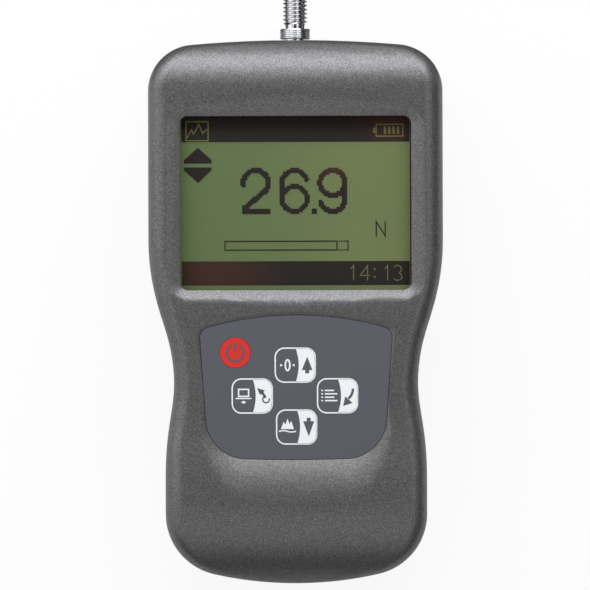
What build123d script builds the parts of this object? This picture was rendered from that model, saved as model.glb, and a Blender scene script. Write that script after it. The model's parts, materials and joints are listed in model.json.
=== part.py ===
"""Hand-held force gauge: a waisted two-piece case with a graphic display, a membrane keypad and an
S-shaped load cell whose threaded stud stands out of the top end.

Millimetres. The gauge lies on its back: +Z leaves the display, +Y points along the stud, +X is to the
right of someone who reads the display. The origin is on the back face, halfway along the case.
"""
import os
from math import atan, atan2, cos, degrees, radians, sin, sqrt, tan

from build123d import *

# Case, seen from the front
body_length = 133.2
body_width = 72.0
body_depth = 34.0
wall = 2.2
half_length = body_length / 2
half_width = body_width / 2
crown_radius = 288.0
crown_corner = 11.5
heel_radius = 88.0
heel_corner = 15.3
shoulder_y = 17.7
neck_y = 0.5
neck_pinch = 2.6
flank_y = -7.6
flank_pinch = 5.0
waist_y = -16.7
waist_inset = 6.15
palm_y = -40.0
palm_inset = 4.05

# Case, seen from the side
part_line = 17.0
front_edge = 4.5
back_edge = 4.0
brow_run = 11.8
brow_radius = 15.0
ridge_y = 0.5
hollow_y = -24.0
hollow_depth = 1.5
crest_run = 20.6
palm_radius = 25.0
cross_crown_radius = 1000.0
brow_y = half_length - brow_run
crest_y = crest_run - half_length
waist_x = half_width - waist_inset
palm_x = half_width - palm_inset

# Joint between the two halves
lip_height = 1.2
lip_wall = 1.05
lip_gap = 0.1
reveal = 0.3

# Display opening and the dish round it
display_from_top = 39.95
display_y = half_length - display_from_top
opening_side = 7.75
opening_width = body_width - 2 * opening_side
opening_height = 42.5
opening_corner = 2.0
dish_run_side = 7.4
dish_run_top = 4.3
dish_run_bottom = 5.1
dish_arch = 3.8
dish_corner = 8.0
dish_depth = 1.8
dish_overshoot = 0.1
dish_land = 1.0
seat_z = body_depth - dish_depth - dish_land
least_arch = 0.02
roll_steps = 4

# Window and display module, from the seat inwards
tape_thick = 0.2
tape_width = 1.1
window_side_lap = 1.25
window_end_lap = 1.05
window_width = opening_width + 2 * window_side_lap
window_height = opening_height + 2 * window_end_lap
window_thick = 1.4
window_corner = 1.5
window_gap = 0.2
window_rib = 1.0
module_gap = 0.3
bezel_sheet = 0.3
bezel_side_lap = 1.75
bezel_end_lap = 1.35
bezel_width = opening_width + 2 * bezel_side_lap
bezel_height = opening_height + 2 * bezel_end_lap
bezel_depth = 4.9
bezel_view_margin = 0.6
glass_thick = 2.4
glass_gap = 0.1
lcd_board_thick = 1.2
lcd_board_end = 5.25
lcd_screw_side = 3.0
lcd_screw_end = 1.7
lcd_board_height = opening_height + 2 * lcd_board_end
lcd_screw_x = bezel_width / 2 - lcd_screw_side
lcd_screw_y = lcd_board_height / 2 - lcd_screw_end
lcd_boss_radius = 2.0
small_screw_radius = 1.25
small_head_radius = 2.2
small_head_height = 1.5
small_screw_grip = 5.0
window_z = seat_z - tape_thick - window_thick
bezel_z = window_z - module_gap
lcd_board_z = bezel_z - bezel_depth - lcd_board_thick

# Membrane keypad
pad_top_y = -0.7
pad_top_sink = 0.45
pad_bottom_y = -35.9
pad_bottom_sink = 2.65
pad_top_side = 12.5
pad_bottom_side = 14.6
pad_top_z = body_depth - pad_top_sink
pad_bottom_z = body_depth - pad_bottom_sink
pad_half_width_top = half_width - pad_top_side
pad_half_width_bottom = half_width - pad_bottom_side
pad_top_arch = 3.6
pad_bottom_arch = 0.6
pad_top_corner = 2.5
pad_bottom_corner = 10.0
pad_gap = 0.15
overlay_thick = 0.25
spacer_thick = 0.5
circuit_thick = 0.3
pad_floor = 2.0
pad_swell_run = 13.0
pad_swell_height = 3.4
pad_shelf_margin = 3.0
key_width = 10.1
key_height = 8.65
key_corner = 2.4
key_gap = 0.1
power_radius = 3.7
dome_radius = 3.0
dome_crown = 1.4
dome_height = 0.45
dome_sheet = 0.15
tail_x = -13.0
tail_y = -5.2
tail_width = 8.0
tail_gap = 0.4
pad_slope = (pad_top_z - pad_bottom_z) / (pad_top_y - pad_bottom_y)
pad_tilt = degrees(atan(pad_slope))
key_places = {
    "zero": (-0.2, -12.9),
    "transmit": (-10.7, -20.4),
    "menu": (10.1, -20.4),
    "peak": (0.1, -28.0),
}
power_place = (-14.8, -9.8)

# Load cell, stud and anchor
stud_z = part_line
thread_radius = 3.0
shaft_radius = 2.75
undercut_radius = 2.3
collar_radius = 3.75
collar_length = 2.5
collar_stand = 0.6
collar_groove = 0.22
collar_grooves = 4
undercut_length = 0.9
thread_length = 11.1
thread_chamfer = 0.6
thread_gap = 0.15
cell_width = 28.0
cell_length = 30.0
cell_thick = 11.0
cell_from_top = 10.6
cell_arm = 7.2
cell_slot = 1.6
cell_web = 5.0
cell_hole_radius = 4.0
cell_hole_spread = 4.5
gauge_length = 4.0
gauge_width = 6.0
gauge_thick = 0.1
nut_flats = 10.0
nut_thick = 3.2
seat_clearance = 0.1
anchor_thick = 6.0
anchor_half_width = 9.5
plate_half_width = 17.5
plate_length = 18.5
plate_thick = 3.0
bolt_head_gap = 3.0
anchor_screw_side = 4.0
anchor_screw_x = plate_half_width - anchor_screw_side
anchor_screw_inset = 4.5
anchor_screw_radius = 2.0
anchor_screw_grip = 3.5
anchor_corner = 2.0
stud_end_gap = 1.0
bolt_drive = 5.0
anchor_head_radius = 3.4
anchor_head_height = 2.4
pillar_radius = 4.0
bolt_head_radius = 5.0
bolt_head_height = 4.2
plate_z = stud_z - bolt_head_radius - bolt_head_gap - plate_thick
bolt_engagement = 6.4
seal_radius = 3.9
seal_gap = 0.2
seal_flange = 1.3
seal_flange_thick = 1.2

# Case screws and test stand inserts
screw_radius = 1.5
screw_length = 18.0
screw_head_radius = 2.75
screw_head_height = 2.2
screw_hole_gap = 0.2
head_hole_gap = 0.15
screw_well = 5.0
screw_head_round = 0.5
screw_drive = 2.0
screw_drive_depth = 1.2
post_radius = 4.0
boss_radius = 3.2
top_screw_side = 8.5
top_screw_x = half_width - top_screw_side
top_screw_from_end = 9.1
bottom_screw_side = 8.65
bottom_screw_x = palm_x - bottom_screw_side
bottom_screw_from_end = 10.2
stand_spacing_x = 48.0
stand_spacing_y = 32.0
stand_y = 33.0
insert_radius = 3.5
insert_length = 8.0
insert_bore = 2.1
insert_boss = 5.0
insert_cover = 1.5

# Battery pack
cell_radius = 7.1
cell_can = 49.2
nub_length = 1.3
nub_radius = 2.75
cell_spacing = 0.4
cell_pitch = 2 * cell_radius + cell_spacing
battery_top_y = -0.5
tray_wall = 1.0
tray_gap = 0.3
tray_height = 8.0
tray_floor_gap = 0.1
tray_rib = 1.0
strip_thick = 0.2
strip_height = 6.0
lead_radius = 0.6
tray_z = wall + tray_floor_gap
cell_z = tray_z + tray_wall + tray_floor_gap + cell_radius

# Main board
board_room = 1.4
board_z = cell_z + cell_radius + board_room
board_thick = 1.6
board_side = 4.35
board_half_width = waist_x - board_side
board_ear_side = 7.8
board_ear_half_width = half_width - board_ear_side
board_ear_length = 7.0
board_tongue_half_width = 17.0
board_tongue_length = 11.5
board_top_y = 1.0
board_end_gap = 5.1
board_corner = 1.5
board_post_radius = 2.4
board_post_side = 2.2
board_post_x = board_ear_half_width - board_post_side
board_post_y = board_top_y - board_ear_length / 2
tongue_post_side = 3.5
tongue_post_x = board_tongue_half_width - tongue_post_side
tongue_post_from_end = 9.0
buzzer_radius = 4.5
buzzer_height = 3.2
buzzer_place = (15.0, -31.0)
coin_radius = 6.25
coin_thick = 2.0
coin_place = (-13.0, -40.0)
coin_seat = 0.4
coin_clip = 1.0
processor_size = 12.0
processor_place = (1.0, -26.0)
chip_thick = 1.5
chip_places = [(-14.0, -24.0), (13.0, -18.0), (1.0, -42.0), (14.0, -44.0)]
chip_width = 6.5
chip_length = 5.0

# Data socket in the lower end
socket_width = 7.7
socket_height = 3.95
socket_length = 8.5
socket_sheet = 0.35
socket_recess = 0.9
socket_gap = 0.3
socket_corner = 1.0
socket_tongue_width = 4.0
socket_tongue_thick = 0.8

# Connectors and leads
connector_width = 3.6
connector_height = 3.8
connector_length = 5.2
connector_wall = 2.0
tail_stand = 1.0
ribbon_width = 13.0
ribbon_low_y = -6.4
ribbon_high_y = 2.2
ribbon_stand = 1.0
ribbon_hang = 1.6
ribbon_connector_height = 2.0
lead_connector_y = -5.2
lead_rise_y = 3.4
lead_stand = 1.3
cell_lead_x = -20.6
cell_lead_radius = 0.8
cell_lead_bend = 2.0
battery_lead_x = 12.3
battery_lead_spread = 1.3
battery_lead_bend = 1.2

# Values worked out from the ones above
screw_places = [
    (side * x, y)
    for side in (-1, 1)
    for x, y in (
        (top_screw_x, half_length - top_screw_from_end),
        (bottom_screw_x, bottom_screw_from_end - half_length),
    )
]
key_names = ["power"] + list(key_places)
board_screw_places = [
    (side * x, y)
    for side in (-1, 1)
    for x, y in ((board_post_x, board_post_y), (tongue_post_x, tongue_post_from_end - half_length))
]
cell_top = half_length - cell_from_top
cell_bottom = cell_top - cell_length
cell_middle = (cell_top + cell_bottom) / 2
anchor_screw_places = [
    (side * anchor_screw_x, y)
    for side in (-1, 1)
    for y in (cell_bottom - anchor_screw_inset, cell_bottom - plate_length + anchor_screw_inset)
]
circuit_depth = overlay_thick + spacer_thick
pad_depth = circuit_depth + circuit_thick
board_top = board_z + board_thick
lead_z = board_top + lead_stand
board_bottom_y = board_end_gap - half_length
pad_plane = Plane(
    origin=(0, pad_top_y, pad_top_z),
    x_dir=(1, 0, 0),
    z_dir=(0, -sin(radians(pad_tilt)), cos(radians(pad_tilt))),
)
dish_plane = Plane.XY.offset(body_depth - dish_depth)

os.makedirs("parts", exist_ok=True)


def end_corner(side_x, bow_radius, corner_radius):
    """Where the arc of a corner lies that runs from a straight side into a bowed end.

    Gives the arc's centre, as its distance out from the axis and along it, and the angle at which
    it meets the bow.
    """
    across = side_x - corner_radius
    along = sqrt((bow_radius - corner_radius) ** 2 - across**2)
    return across, half_length - bow_radius + along, degrees(atan2(along, across))


def case_outline(inset):
    """The waisted outline of the case, moved inwards by inset."""
    top_x, top_y, top_angle = end_corner(half_width, crown_radius, crown_corner)
    heel_x, heel_y, heel_angle = end_corner(palm_x, heel_radius, heel_corner)
    with BuildSketch() as sketch:
        with BuildLine() as line:
            CenterArc((0, half_length - crown_radius), crown_radius - inset, top_angle, 90 - top_angle)
            CenterArc((top_x, top_y), crown_corner - inset, 0, top_angle)
            Line((half_width - inset, top_y), (half_width - inset, shoulder_y))
            Spline(
                (half_width - inset, shoulder_y),
                (half_width - neck_pinch - inset, neck_y),
                (half_width - flank_pinch - inset, flank_y),
                (waist_x - inset, waist_y),
                (palm_x - inset, palm_y),
                tangents=[(0, -1), (0, -1)],
            )
            Line((palm_x - inset, palm_y), (palm_x - inset, -heel_y))
            CenterArc((heel_x, -heel_y), heel_corner - inset, -heel_angle, heel_angle)
            CenterArc((0, heel_radius - half_length), heel_radius - inset, -90, 90 - heel_angle)
            mirror(about=Plane.YZ)
        make_face()
    return sketch.sketch


def is_rim(edge):
    """Edges that run round the front of the form, and not straight across it."""
    box = edge.bounding_box()
    return box.min.Z > part_line + 2 * lip_height and box.size.Y > reveal


def case_form(inset, bottom):
    """The solid form of the case above a given height, moved inwards by inset.

    A slightly crowned line is carried along the side profile and takes away what is above it: the
    rounded brow, the flat round the display, the hollow for the keypad and the swell of the palm.
    """
    with BuildLine(Plane.YZ) as profile:
        CenterArc((crest_y, body_depth - palm_radius), palm_radius - inset, 150, -60)
        Spline(
            (crest_y, body_depth - inset),
            (hollow_y, body_depth - hollow_depth - inset),
            (ridge_y, body_depth - inset),
            tangents=[(1, 0), (1, 0)],
        )
        Line((ridge_y, body_depth - inset), (brow_y, body_depth - inset))
        CenterArc((brow_y, body_depth - brow_radius), brow_radius - inset, 90, -65)
    reach = body_width
    sag = cross_crown_radius - sqrt(cross_crown_radius**2 - reach**2)
    with BuildPart() as form:
        with BuildSketch(Plane.XY.offset(bottom)):
            add(case_outline(inset))
        extrude(amount=body_depth - bottom)
        with BuildSketch(Plane(origin=profile.line @ 0, x_dir=(1, 0, 0), z_dir=profile.line % 0)):
            with BuildLine():
                ThreePointArc((-reach, sag), (0, 0), (reach, sag))
                Polyline((reach, sag), (reach, -body_depth / 2), (-reach, -body_depth / 2), (-reach, sag))
            make_face()
        sweep(path=profile.line, mode=Mode.SUBTRACT)
        fillet(form.edges().filter_by(is_rim), front_edge - inset)
    return form.part


def dish_outline(share):
    """The dish's outline, from the opening at share 0 out to its rim at share 1, arched over the top."""
    side = opening_width / 2 + dish_run_side * share
    low = display_y - opening_height / 2 - dish_run_bottom * share
    high = display_y + opening_height / 2 + dish_run_top * share
    with BuildSketch() as sketch:
        with BuildLine():
            ThreePointArc((-side, high), (0, high + dish_arch * (share + least_arch)), (side, high))
            Line((side, high), (side, low))
            Line((side, low), (-side, low))
            Line((-side, low), (-side, high))
        make_face()
        fillet(sketch.vertices(), opening_corner + (dish_corner - opening_corner) * share)
    return sketch.sketch


def keypad_outline(grow):
    """The keypad's outline in its own plane, grown by grow: arched top, wide lower corners."""
    length = (pad_top_y - pad_bottom_y) / cos(radians(pad_tilt))
    with BuildSketch() as sketch:
        with BuildLine():
            ThreePointArc((-pad_half_width_top, -pad_top_arch), (0, 0), (pad_half_width_top, -pad_top_arch))
            Line((pad_half_width_top, -pad_top_arch), (pad_half_width_bottom, pad_bottom_arch - length))
            ThreePointArc(
                (pad_half_width_bottom, pad_bottom_arch - length),
                (0, -length),
                (-pad_half_width_bottom, pad_bottom_arch - length),
            )
            Line((-pad_half_width_bottom, pad_bottom_arch - length), (-pad_half_width_top, -pad_top_arch))
        make_face()
        corners = sketch.vertices().sort_by(Axis.Y)
        fillet(corners[:2], pad_bottom_corner)
        fillet(sketch.vertices().sort_by(Axis.Y)[-2:], pad_top_corner)
        if grow:
            offset(amount=grow)
    return sketch.sketch


def pad_swell_outline(share):
    """The outline of the hollow round the keypad, from its edge at share 0 to its rim at share 1."""
    return keypad_outline(pad_gap + pad_swell_run * share)


def rolled_hollow(outline, plane, height):
    """A hollow whose floor is an outline and whose wall rises steeply there and levels off.

    The outline grows in even steps while the height follows a parabola that is level at the rim.
    """
    with BuildPart() as hollow:
        for step in range(roll_steps + 1):
            share = step / roll_steps
            with BuildSketch(plane.offset(height * share * (2 - share))):
                add(outline(share))
        loft()
    return hollow.part


def on_pad(place):
    """A place given as seen from the front, in the keypad's own plane."""
    x, y = place
    return x, (y - pad_top_y) / cos(radians(pad_tilt))


def key_outline(name, grow):
    """The outline of one key, grown by grow, at its place on the keypad."""
    with BuildSketch() as sketch:
        if name == "power":
            with Locations(on_pad(power_place)):
                Circle(power_radius + grow)
        else:
            with Locations(on_pad(key_places[name])):
                RectangleRounded(key_width + 2 * grow, key_height + 2 * grow, key_corner + grow)
    return sketch.sketch


def stand_circles(radius):
    """Four circles at the places of the test stand's screws, about the pattern's own centre."""
    with BuildSketch() as sketch:
        with GridLocations(stand_spacing_x, stand_spacing_y, 2, 2):
            Circle(radius)
    return sketch.sketch


# The holes through the end walls: the stud's at the top, the data socket's at the bottom
socket_z = board_z - socket_height / 2
with BuildPart() as end_holes:
    with BuildSketch(Plane.XZ.offset(-half_length - wall)):
        with Locations((0, stud_z)):
            Circle(seal_radius)
    extrude(amount=3 * wall)
    with BuildSketch(Plane.XZ.offset(half_length + wall)):
        with Locations((0, socket_z)):
            RectangleRounded(socket_width + 2 * socket_gap, socket_height + 2 * socket_gap, socket_corner)
    extrude(amount=-3 * wall)
wall_holes = end_holes.part

# Front half: the form, less its cavity, with the dish, the keypad pocket and the joint's rebate
with BuildPart() as front_cavity:
    add(case_form(wall, part_line))
    with BuildSketch(Plane.XY.offset(seat_z)):
        add(dish_outline(1))
    extrude(amount=body_depth - seat_z, mode=Mode.SUBTRACT)
    with BuildSketch(Plane.XY.offset(window_z)):
        with Locations((0, display_y)):
            rib_gap = 2 * window_gap
            rib_out = rib_gap + 2 * window_rib
            Rectangle(window_width + rib_out, window_height + rib_out)
            Rectangle(window_width + rib_gap, window_height + rib_gap, mode=Mode.SUBTRACT)
    extrude(amount=body_depth - window_z, mode=Mode.SUBTRACT)
    with BuildSketch(Plane.XY.offset(lcd_board_z + lcd_board_thick)):
        with Locations((0, display_y)):
            with GridLocations(2 * lcd_screw_x, 2 * lcd_screw_y, 2, 2):
                Circle(lcd_boss_radius)
    extrude(amount=body_depth - lcd_board_z, mode=Mode.SUBTRACT)
    with BuildSketch(Plane.XY.offset(part_line)):
        with Locations(*screw_places):
            Circle(boss_radius)
    extrude(amount=body_depth - part_line, mode=Mode.SUBTRACT)
    with BuildSketch(pad_plane.offset(-pad_depth - pad_floor)):
        add(keypad_outline(pad_shelf_margin))
    extrude(amount=body_depth, mode=Mode.SUBTRACT)
    add(rolled_hollow(pad_swell_outline, pad_plane.offset(-wall), pad_swell_height), mode=Mode.SUBTRACT)

with BuildPart() as front_housing:
    add(case_form(0, part_line))
    chamfer(front_housing.edges().filter_by_position(Axis.Z, part_line, part_line), reveal)
    add(rolled_hollow(dish_outline, dish_plane, dish_depth + dish_overshoot), mode=Mode.SUBTRACT)
    add(rolled_hollow(pad_swell_outline, pad_plane, pad_swell_height), mode=Mode.SUBTRACT)
    with BuildSketch(pad_plane):
        add(keypad_outline(pad_gap))
    extrude(amount=-pad_depth, mode=Mode.SUBTRACT)
    add(front_cavity.part, mode=Mode.SUBTRACT)
    with BuildSketch(Plane.XY.offset(seat_z)):
        with Locations((0, display_y)):
            RectangleRounded(opening_width, opening_height, opening_corner)
    extrude(amount=dish_depth + dish_land, mode=Mode.SUBTRACT)
    with BuildSketch(Plane.XY.offset(part_line)):
        add(case_outline(lip_wall))
        add(case_outline(wall), mode=Mode.SUBTRACT)
    extrude(amount=lip_height + lip_gap, mode=Mode.SUBTRACT)
    with BuildSketch(Plane.XY.offset(part_line)):
        with Locations(*screw_places):
            Circle(screw_radius)
    extrude(amount=screw_well + screw_length - part_line + seat_clearance, mode=Mode.SUBTRACT)
    with BuildSketch(Plane.XY.offset(lcd_board_z)):
        with Locations((0, display_y)):
            with GridLocations(2 * lcd_screw_x, 2 * lcd_screw_y, 2, 2):
                Circle(small_screw_radius)
    extrude(amount=small_screw_grip + seat_clearance, mode=Mode.SUBTRACT)
    with BuildSketch(Plane.XY.offset(board_top)):
        with Locations((tail_x, tail_y)):
            Rectangle(tail_width + 2 * tail_gap, circuit_thick + 2 * tail_gap)
    extrude(amount=body_depth - board_top, mode=Mode.SUBTRACT)
    add(wall_holes, mode=Mode.SUBTRACT)
front_housing.part.label = "front_housing"
export_step(front_housing.part, "parts/front_housing.step")

# Rear half: a tray with the joint's lip, posts for the screws, the board and the anchor
with BuildPart() as rear_cavity:
    with BuildSketch(Plane.XY.offset(wall)):
        add(case_outline(wall))
    extrude(amount=part_line - wall)
    fillet(rear_cavity.faces().sort_by(Axis.Z)[0].edges(), back_edge - wall)
    with BuildSketch(Plane.XY.offset(wall)):
        with Locations(*screw_places):
            Circle(post_radius)
    extrude(amount=part_line - wall, mode=Mode.SUBTRACT)
    with BuildSketch(Plane.XY.offset(wall)):
        with Locations((0, stand_y)):
            add(stand_circles(insert_boss))
    extrude(amount=insert_length + insert_cover - wall, mode=Mode.SUBTRACT)
    with BuildSketch(Plane.XY.offset(wall)):
        with Locations(*board_screw_places):
            Circle(board_post_radius)
    extrude(amount=part_line - wall, mode=Mode.SUBTRACT)
    with BuildSketch(Plane.XY.offset(wall)):
        with Locations(*anchor_screw_places):
            Circle(pillar_radius)
    extrude(amount=plate_z - wall, mode=Mode.SUBTRACT)

with BuildPart() as rear_housing:
    with BuildSketch():
        add(case_outline(0))
    extrude(amount=part_line)
    fillet(rear_housing.faces().sort_by(Axis.Z)[0].edges(), back_edge)
    chamfer(rear_housing.faces().sort_by(Axis.Z)[-1].edges(), reveal)
    add(rear_cavity.part, mode=Mode.SUBTRACT)
    with BuildSketch(Plane.XY.offset(part_line - wall)):
        add(case_outline(lip_wall + lip_gap))
        add(case_outline(wall), mode=Mode.SUBTRACT)
    extrude(amount=wall + lip_height)
    with BuildSketch(Plane.XY.offset(part_line)):
        with Locations(*board_screw_places):
            Circle(board_post_radius)
    extrude(amount=board_z - part_line)
    with BuildSketch(Plane.XY.offset(board_top - small_screw_grip - board_thick - seat_clearance)):
        with Locations(*board_screw_places):
            Circle(small_screw_radius)
    extrude(amount=small_screw_grip + board_thick, mode=Mode.SUBTRACT)
    with BuildSketch():
        with Locations(*screw_places):
            Circle(screw_head_radius + head_hole_gap)
    extrude(amount=screw_well, mode=Mode.SUBTRACT)
    with BuildSketch():
        with Locations(*screw_places):
            Circle(screw_radius + screw_hole_gap)
    extrude(amount=part_line, mode=Mode.SUBTRACT)
    with BuildSketch():
        with Locations((0, stand_y)):
            add(stand_circles(insert_radius))
    extrude(amount=insert_length, mode=Mode.SUBTRACT)
    with BuildSketch(Plane.XY.offset(plate_z - anchor_screw_grip)):
        with Locations(*anchor_screw_places):
            Circle(anchor_screw_radius)
    extrude(amount=anchor_screw_grip, mode=Mode.SUBTRACT)
    add(wall_holes, mode=Mode.SUBTRACT)
rear_housing.part.label = "rear_housing"
export_step(rear_housing.part, "parts/rear_housing.step")

# Four pan head screws up through the rear posts into the front bosses
with BuildPart() as housing_screws:
    with BuildSketch(Plane.XY.offset(screw_well - screw_head_height)):
        with Locations(*screw_places):
            Circle(screw_head_radius)
    extrude(amount=screw_head_height)
    fillet(housing_screws.edges().group_by(Axis.Z)[0], screw_head_round)
    with BuildSketch(Plane.XY.offset(screw_well)):
        with Locations(*screw_places):
            Circle(screw_radius)
    extrude(amount=screw_length)
    with BuildSketch(Plane.XY.offset(screw_well - screw_head_height)):
        with Locations(*screw_places):
            RegularPolygon(screw_drive / 2, 6, major_radius=False)
    extrude(amount=screw_drive_depth, mode=Mode.SUBTRACT)
housing_screws.part.label = "housing_screws"
export_step(housing_screws.part, "parts/housing_screws.step")

# Brass thread inserts, flush with the back, for a test stand
with BuildPart() as mounting_inserts:
    with BuildSketch():
        with Locations((0, stand_y)):
            add(stand_circles(insert_radius))
            add(stand_circles(insert_bore), mode=Mode.SUBTRACT)
    extrude(amount=insert_length)
mounting_inserts.part.label = "mounting_inserts"
export_step(mounting_inserts.part, "parts/mounting_inserts.step")

# Window and the tape that holds it up against its seat
with BuildPart() as display_window:
    with BuildSketch(Plane.XY.offset(window_z)):
        with Locations((0, display_y)):
            RectangleRounded(window_width, window_height, window_corner)
    extrude(amount=window_thick)
display_window.part.label = "display_window"
export_step(display_window.part, "parts/display_window.step")

with BuildPart() as window_tape:
    with BuildSketch(Plane.XY.offset(window_z + window_thick)):
        with Locations((0, display_y)):
            RectangleRounded(window_width, window_height, window_corner)
            Rectangle(window_width - 2 * tape_width, window_height - 2 * tape_width, mode=Mode.SUBTRACT)
    extrude(amount=tape_thick)
window_tape.part.label = "window_tape"
export_step(window_tape.part, "parts/window_tape.step")

# Display module: sheet metal bezel over the glass and its backlight, on a board
bezel_bottom = bezel_z - bezel_depth
glass_z = bezel_z - bezel_sheet - glass_thick
inner_width = bezel_width - 2 * bezel_sheet
inner_height = bezel_height - 2 * bezel_sheet
with BuildPart() as lcd_bezel:
    with BuildSketch(Plane.XY.offset(bezel_bottom)):
        with Locations((0, display_y)):
            Rectangle(bezel_width, bezel_height)
    extrude(amount=bezel_depth)
    with BuildSketch(Plane.XY.offset(bezel_bottom)):
        with Locations((0, display_y)):
            Rectangle(inner_width, inner_height)
    extrude(amount=bezel_depth - bezel_sheet, mode=Mode.SUBTRACT)
    with BuildSketch(Plane.XY.offset(bezel_bottom)):
        with Locations((0, display_y)):
            view_grow = 2 * bezel_view_margin
            Rectangle(opening_width + view_grow, opening_height + view_grow)
    extrude(amount=bezel_depth, mode=Mode.SUBTRACT)
lcd_bezel.part.label = "lcd_bezel"
export_step(lcd_bezel.part, "parts/lcd_bezel.step")

with BuildPart() as lcd_glass:
    with BuildSketch(Plane.XY.offset(glass_z)):
        with Locations((0, display_y)):
            Rectangle(inner_width - 2 * glass_gap, inner_height - 2 * glass_gap)
    extrude(amount=glass_thick)
lcd_glass.part.label = "lcd_glass"
export_step(lcd_glass.part, "parts/lcd_glass.step")

with BuildPart() as lcd_backlight:
    with BuildSketch(Plane.XY.offset(bezel_bottom)):
        with Locations((0, display_y)):
            Rectangle(inner_width - 2 * glass_gap, inner_height - 2 * glass_gap)
    extrude(amount=glass_z - bezel_bottom)
lcd_backlight.part.label = "lcd_backlight"
export_step(lcd_backlight.part, "parts/lcd_backlight.step")

with BuildPart() as lcd_board:
    with BuildSketch(Plane.XY.offset(lcd_board_z)):
        with Locations((0, display_y)):
            RectangleRounded(bezel_width, lcd_board_height, board_corner)
            with GridLocations(2 * lcd_screw_x, 2 * lcd_screw_y, 2, 2):
                Circle(small_screw_radius, mode=Mode.SUBTRACT)
    extrude(amount=lcd_board_thick)
lcd_board.part.label = "lcd_board"
export_step(lcd_board.part, "parts/lcd_board.step")

with BuildPart() as lcd_screws:
    with BuildSketch(Plane.XY.offset(lcd_board_z - small_head_height)):
        with Locations((0, display_y)):
            with GridLocations(2 * lcd_screw_x, 2 * lcd_screw_y, 2, 2):
                Circle(small_head_radius)
    extrude(amount=small_head_height)
    with BuildSketch(Plane.XY.offset(lcd_board_z)):
        with Locations((0, display_y)):
            with GridLocations(2 * lcd_screw_x, 2 * lcd_screw_y, 2, 2):
                Circle(small_screw_radius)
    extrude(amount=small_screw_grip)
lcd_screws.part.label = "lcd_screws"
export_step(lcd_screws.part, "parts/lcd_screws.step")

# Membrane keypad, from the printed overlay down to the circuit with its tail
with BuildPart() as keypad_overlay:
    with BuildSketch(pad_plane.offset(-overlay_thick)):
        add(keypad_outline(0))
        for name in key_names:
            add(key_outline(name, key_gap), mode=Mode.SUBTRACT)
    extrude(amount=overlay_thick)
keypad_overlay.part.label = "keypad_overlay"
export_step(keypad_overlay.part, "parts/keypad_overlay.step")

for name in key_names:
    with BuildPart() as key:
        with BuildSketch(pad_plane.offset(-overlay_thick)):
            add(key_outline(name, 0))
        extrude(amount=overlay_thick)
    key.part.label = "key_" + name
    export_step(key.part, "parts/key_" + name + ".step")

with BuildPart() as keypad_spacer:
    with BuildSketch(pad_plane.offset(-circuit_depth)):
        add(keypad_outline(0))
        for name in key_names:
            add(key_outline(name, key_gap), mode=Mode.SUBTRACT)
    extrude(amount=spacer_thick)
keypad_spacer.part.label = "keypad_spacer"
export_step(keypad_spacer.part, "parts/keypad_spacer.step")

# Snap dome: a stamped steel disc with a flat crown and a conical skirt
skirt_slope = atan2(dome_height, dome_radius - dome_crown)
with BuildPart() as dome:
    with BuildSketch(Plane.XZ):
        with BuildLine():
            Polyline(
                (dome_radius - dome_sheet / sin(skirt_slope), 0),
                (dome_radius, 0),
                (dome_crown, dome_height),
                (0, dome_height),
                (0, dome_height - dome_sheet),
                (dome_crown - dome_sheet * tan(skirt_slope / 2), dome_height - dome_sheet),
                close=True,
            )
        make_face()
    revolve(axis=Axis.Z)

with BuildPart() as snap_domes:
    for name in key_names:
        x, y = on_pad(power_place if name == "power" else key_places[name])
        add(pad_plane.offset(-circuit_depth).location * Pos(x, y, 0) * dome.part)
snap_domes.part.label = "snap_domes"
export_step(snap_domes.part, "parts/snap_domes.step")

tail_top_z = pad_top_z + pad_slope * (tail_y - pad_top_y) - circuit_depth - circuit_thick / 2
with BuildPart() as keypad_circuit:
    with BuildSketch(pad_plane.offset(-pad_depth)):
        add(keypad_outline(0))
    extrude(amount=circuit_thick)
    with BuildSketch(Plane.XY.offset(board_top + tail_stand)):
        with Locations((tail_x, tail_y)):
            Rectangle(tail_width, circuit_thick)
    extrude(amount=tail_top_z - board_top - tail_stand)
keypad_circuit.part.label = "keypad_circuit"
export_step(keypad_circuit.part, "parts/keypad_circuit.step")

# Measuring stud: threaded into the cell, through the seal and collar to its M6 end
collar_y = half_length + collar_stand
undercut_y = collar_y + collar_length
thread_y = undercut_y + undercut_length
tip_y = thread_y + thread_length
nut_y = cell_top + seat_clearance
stud_axis = Axis((0, 0, stud_z), (0, 1, 0))
with BuildPart() as force_stud:
    with BuildSketch(Plane.XY.offset(stud_z)):
        with BuildLine():
            Polyline(
                (0, cell_top - cell_arm + stud_end_gap),
                (thread_radius, cell_top - cell_arm + stud_end_gap),
                (thread_radius, nut_y + nut_thick),
                (shaft_radius, nut_y + nut_thick),
                (shaft_radius, undercut_y),
                (undercut_radius, undercut_y),
                (undercut_radius, thread_y),
                (thread_radius, thread_y),
                (thread_radius, tip_y - thread_chamfer),
                (thread_radius - thread_chamfer, tip_y),
                (0, tip_y),
                close=True,
            )
        make_face()
    revolve(axis=stud_axis)
force_stud.part.label = "force_stud"
export_step(force_stud.part, "parts/force_stud.step")

# Collar with fine grooves round it
groove_pitch = collar_length / (collar_grooves + 1)
with BuildPart() as stud_collar:
    with BuildSketch(Plane.XY.offset(stud_z)):
        with Locations(((shaft_radius + collar_radius) / 2, collar_y + collar_length / 2)):
            Rectangle(collar_radius - shaft_radius, collar_length)
        for turn in range(collar_grooves):
            with Locations((collar_radius, collar_y + (turn + 1) * groove_pitch)):
                Rectangle(2 * collar_groove, collar_groove, mode=Mode.SUBTRACT)
    revolve(axis=stud_axis)
stud_collar.part.label = "stud_collar"
export_step(stud_collar.part, "parts/stud_collar.step")

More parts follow.
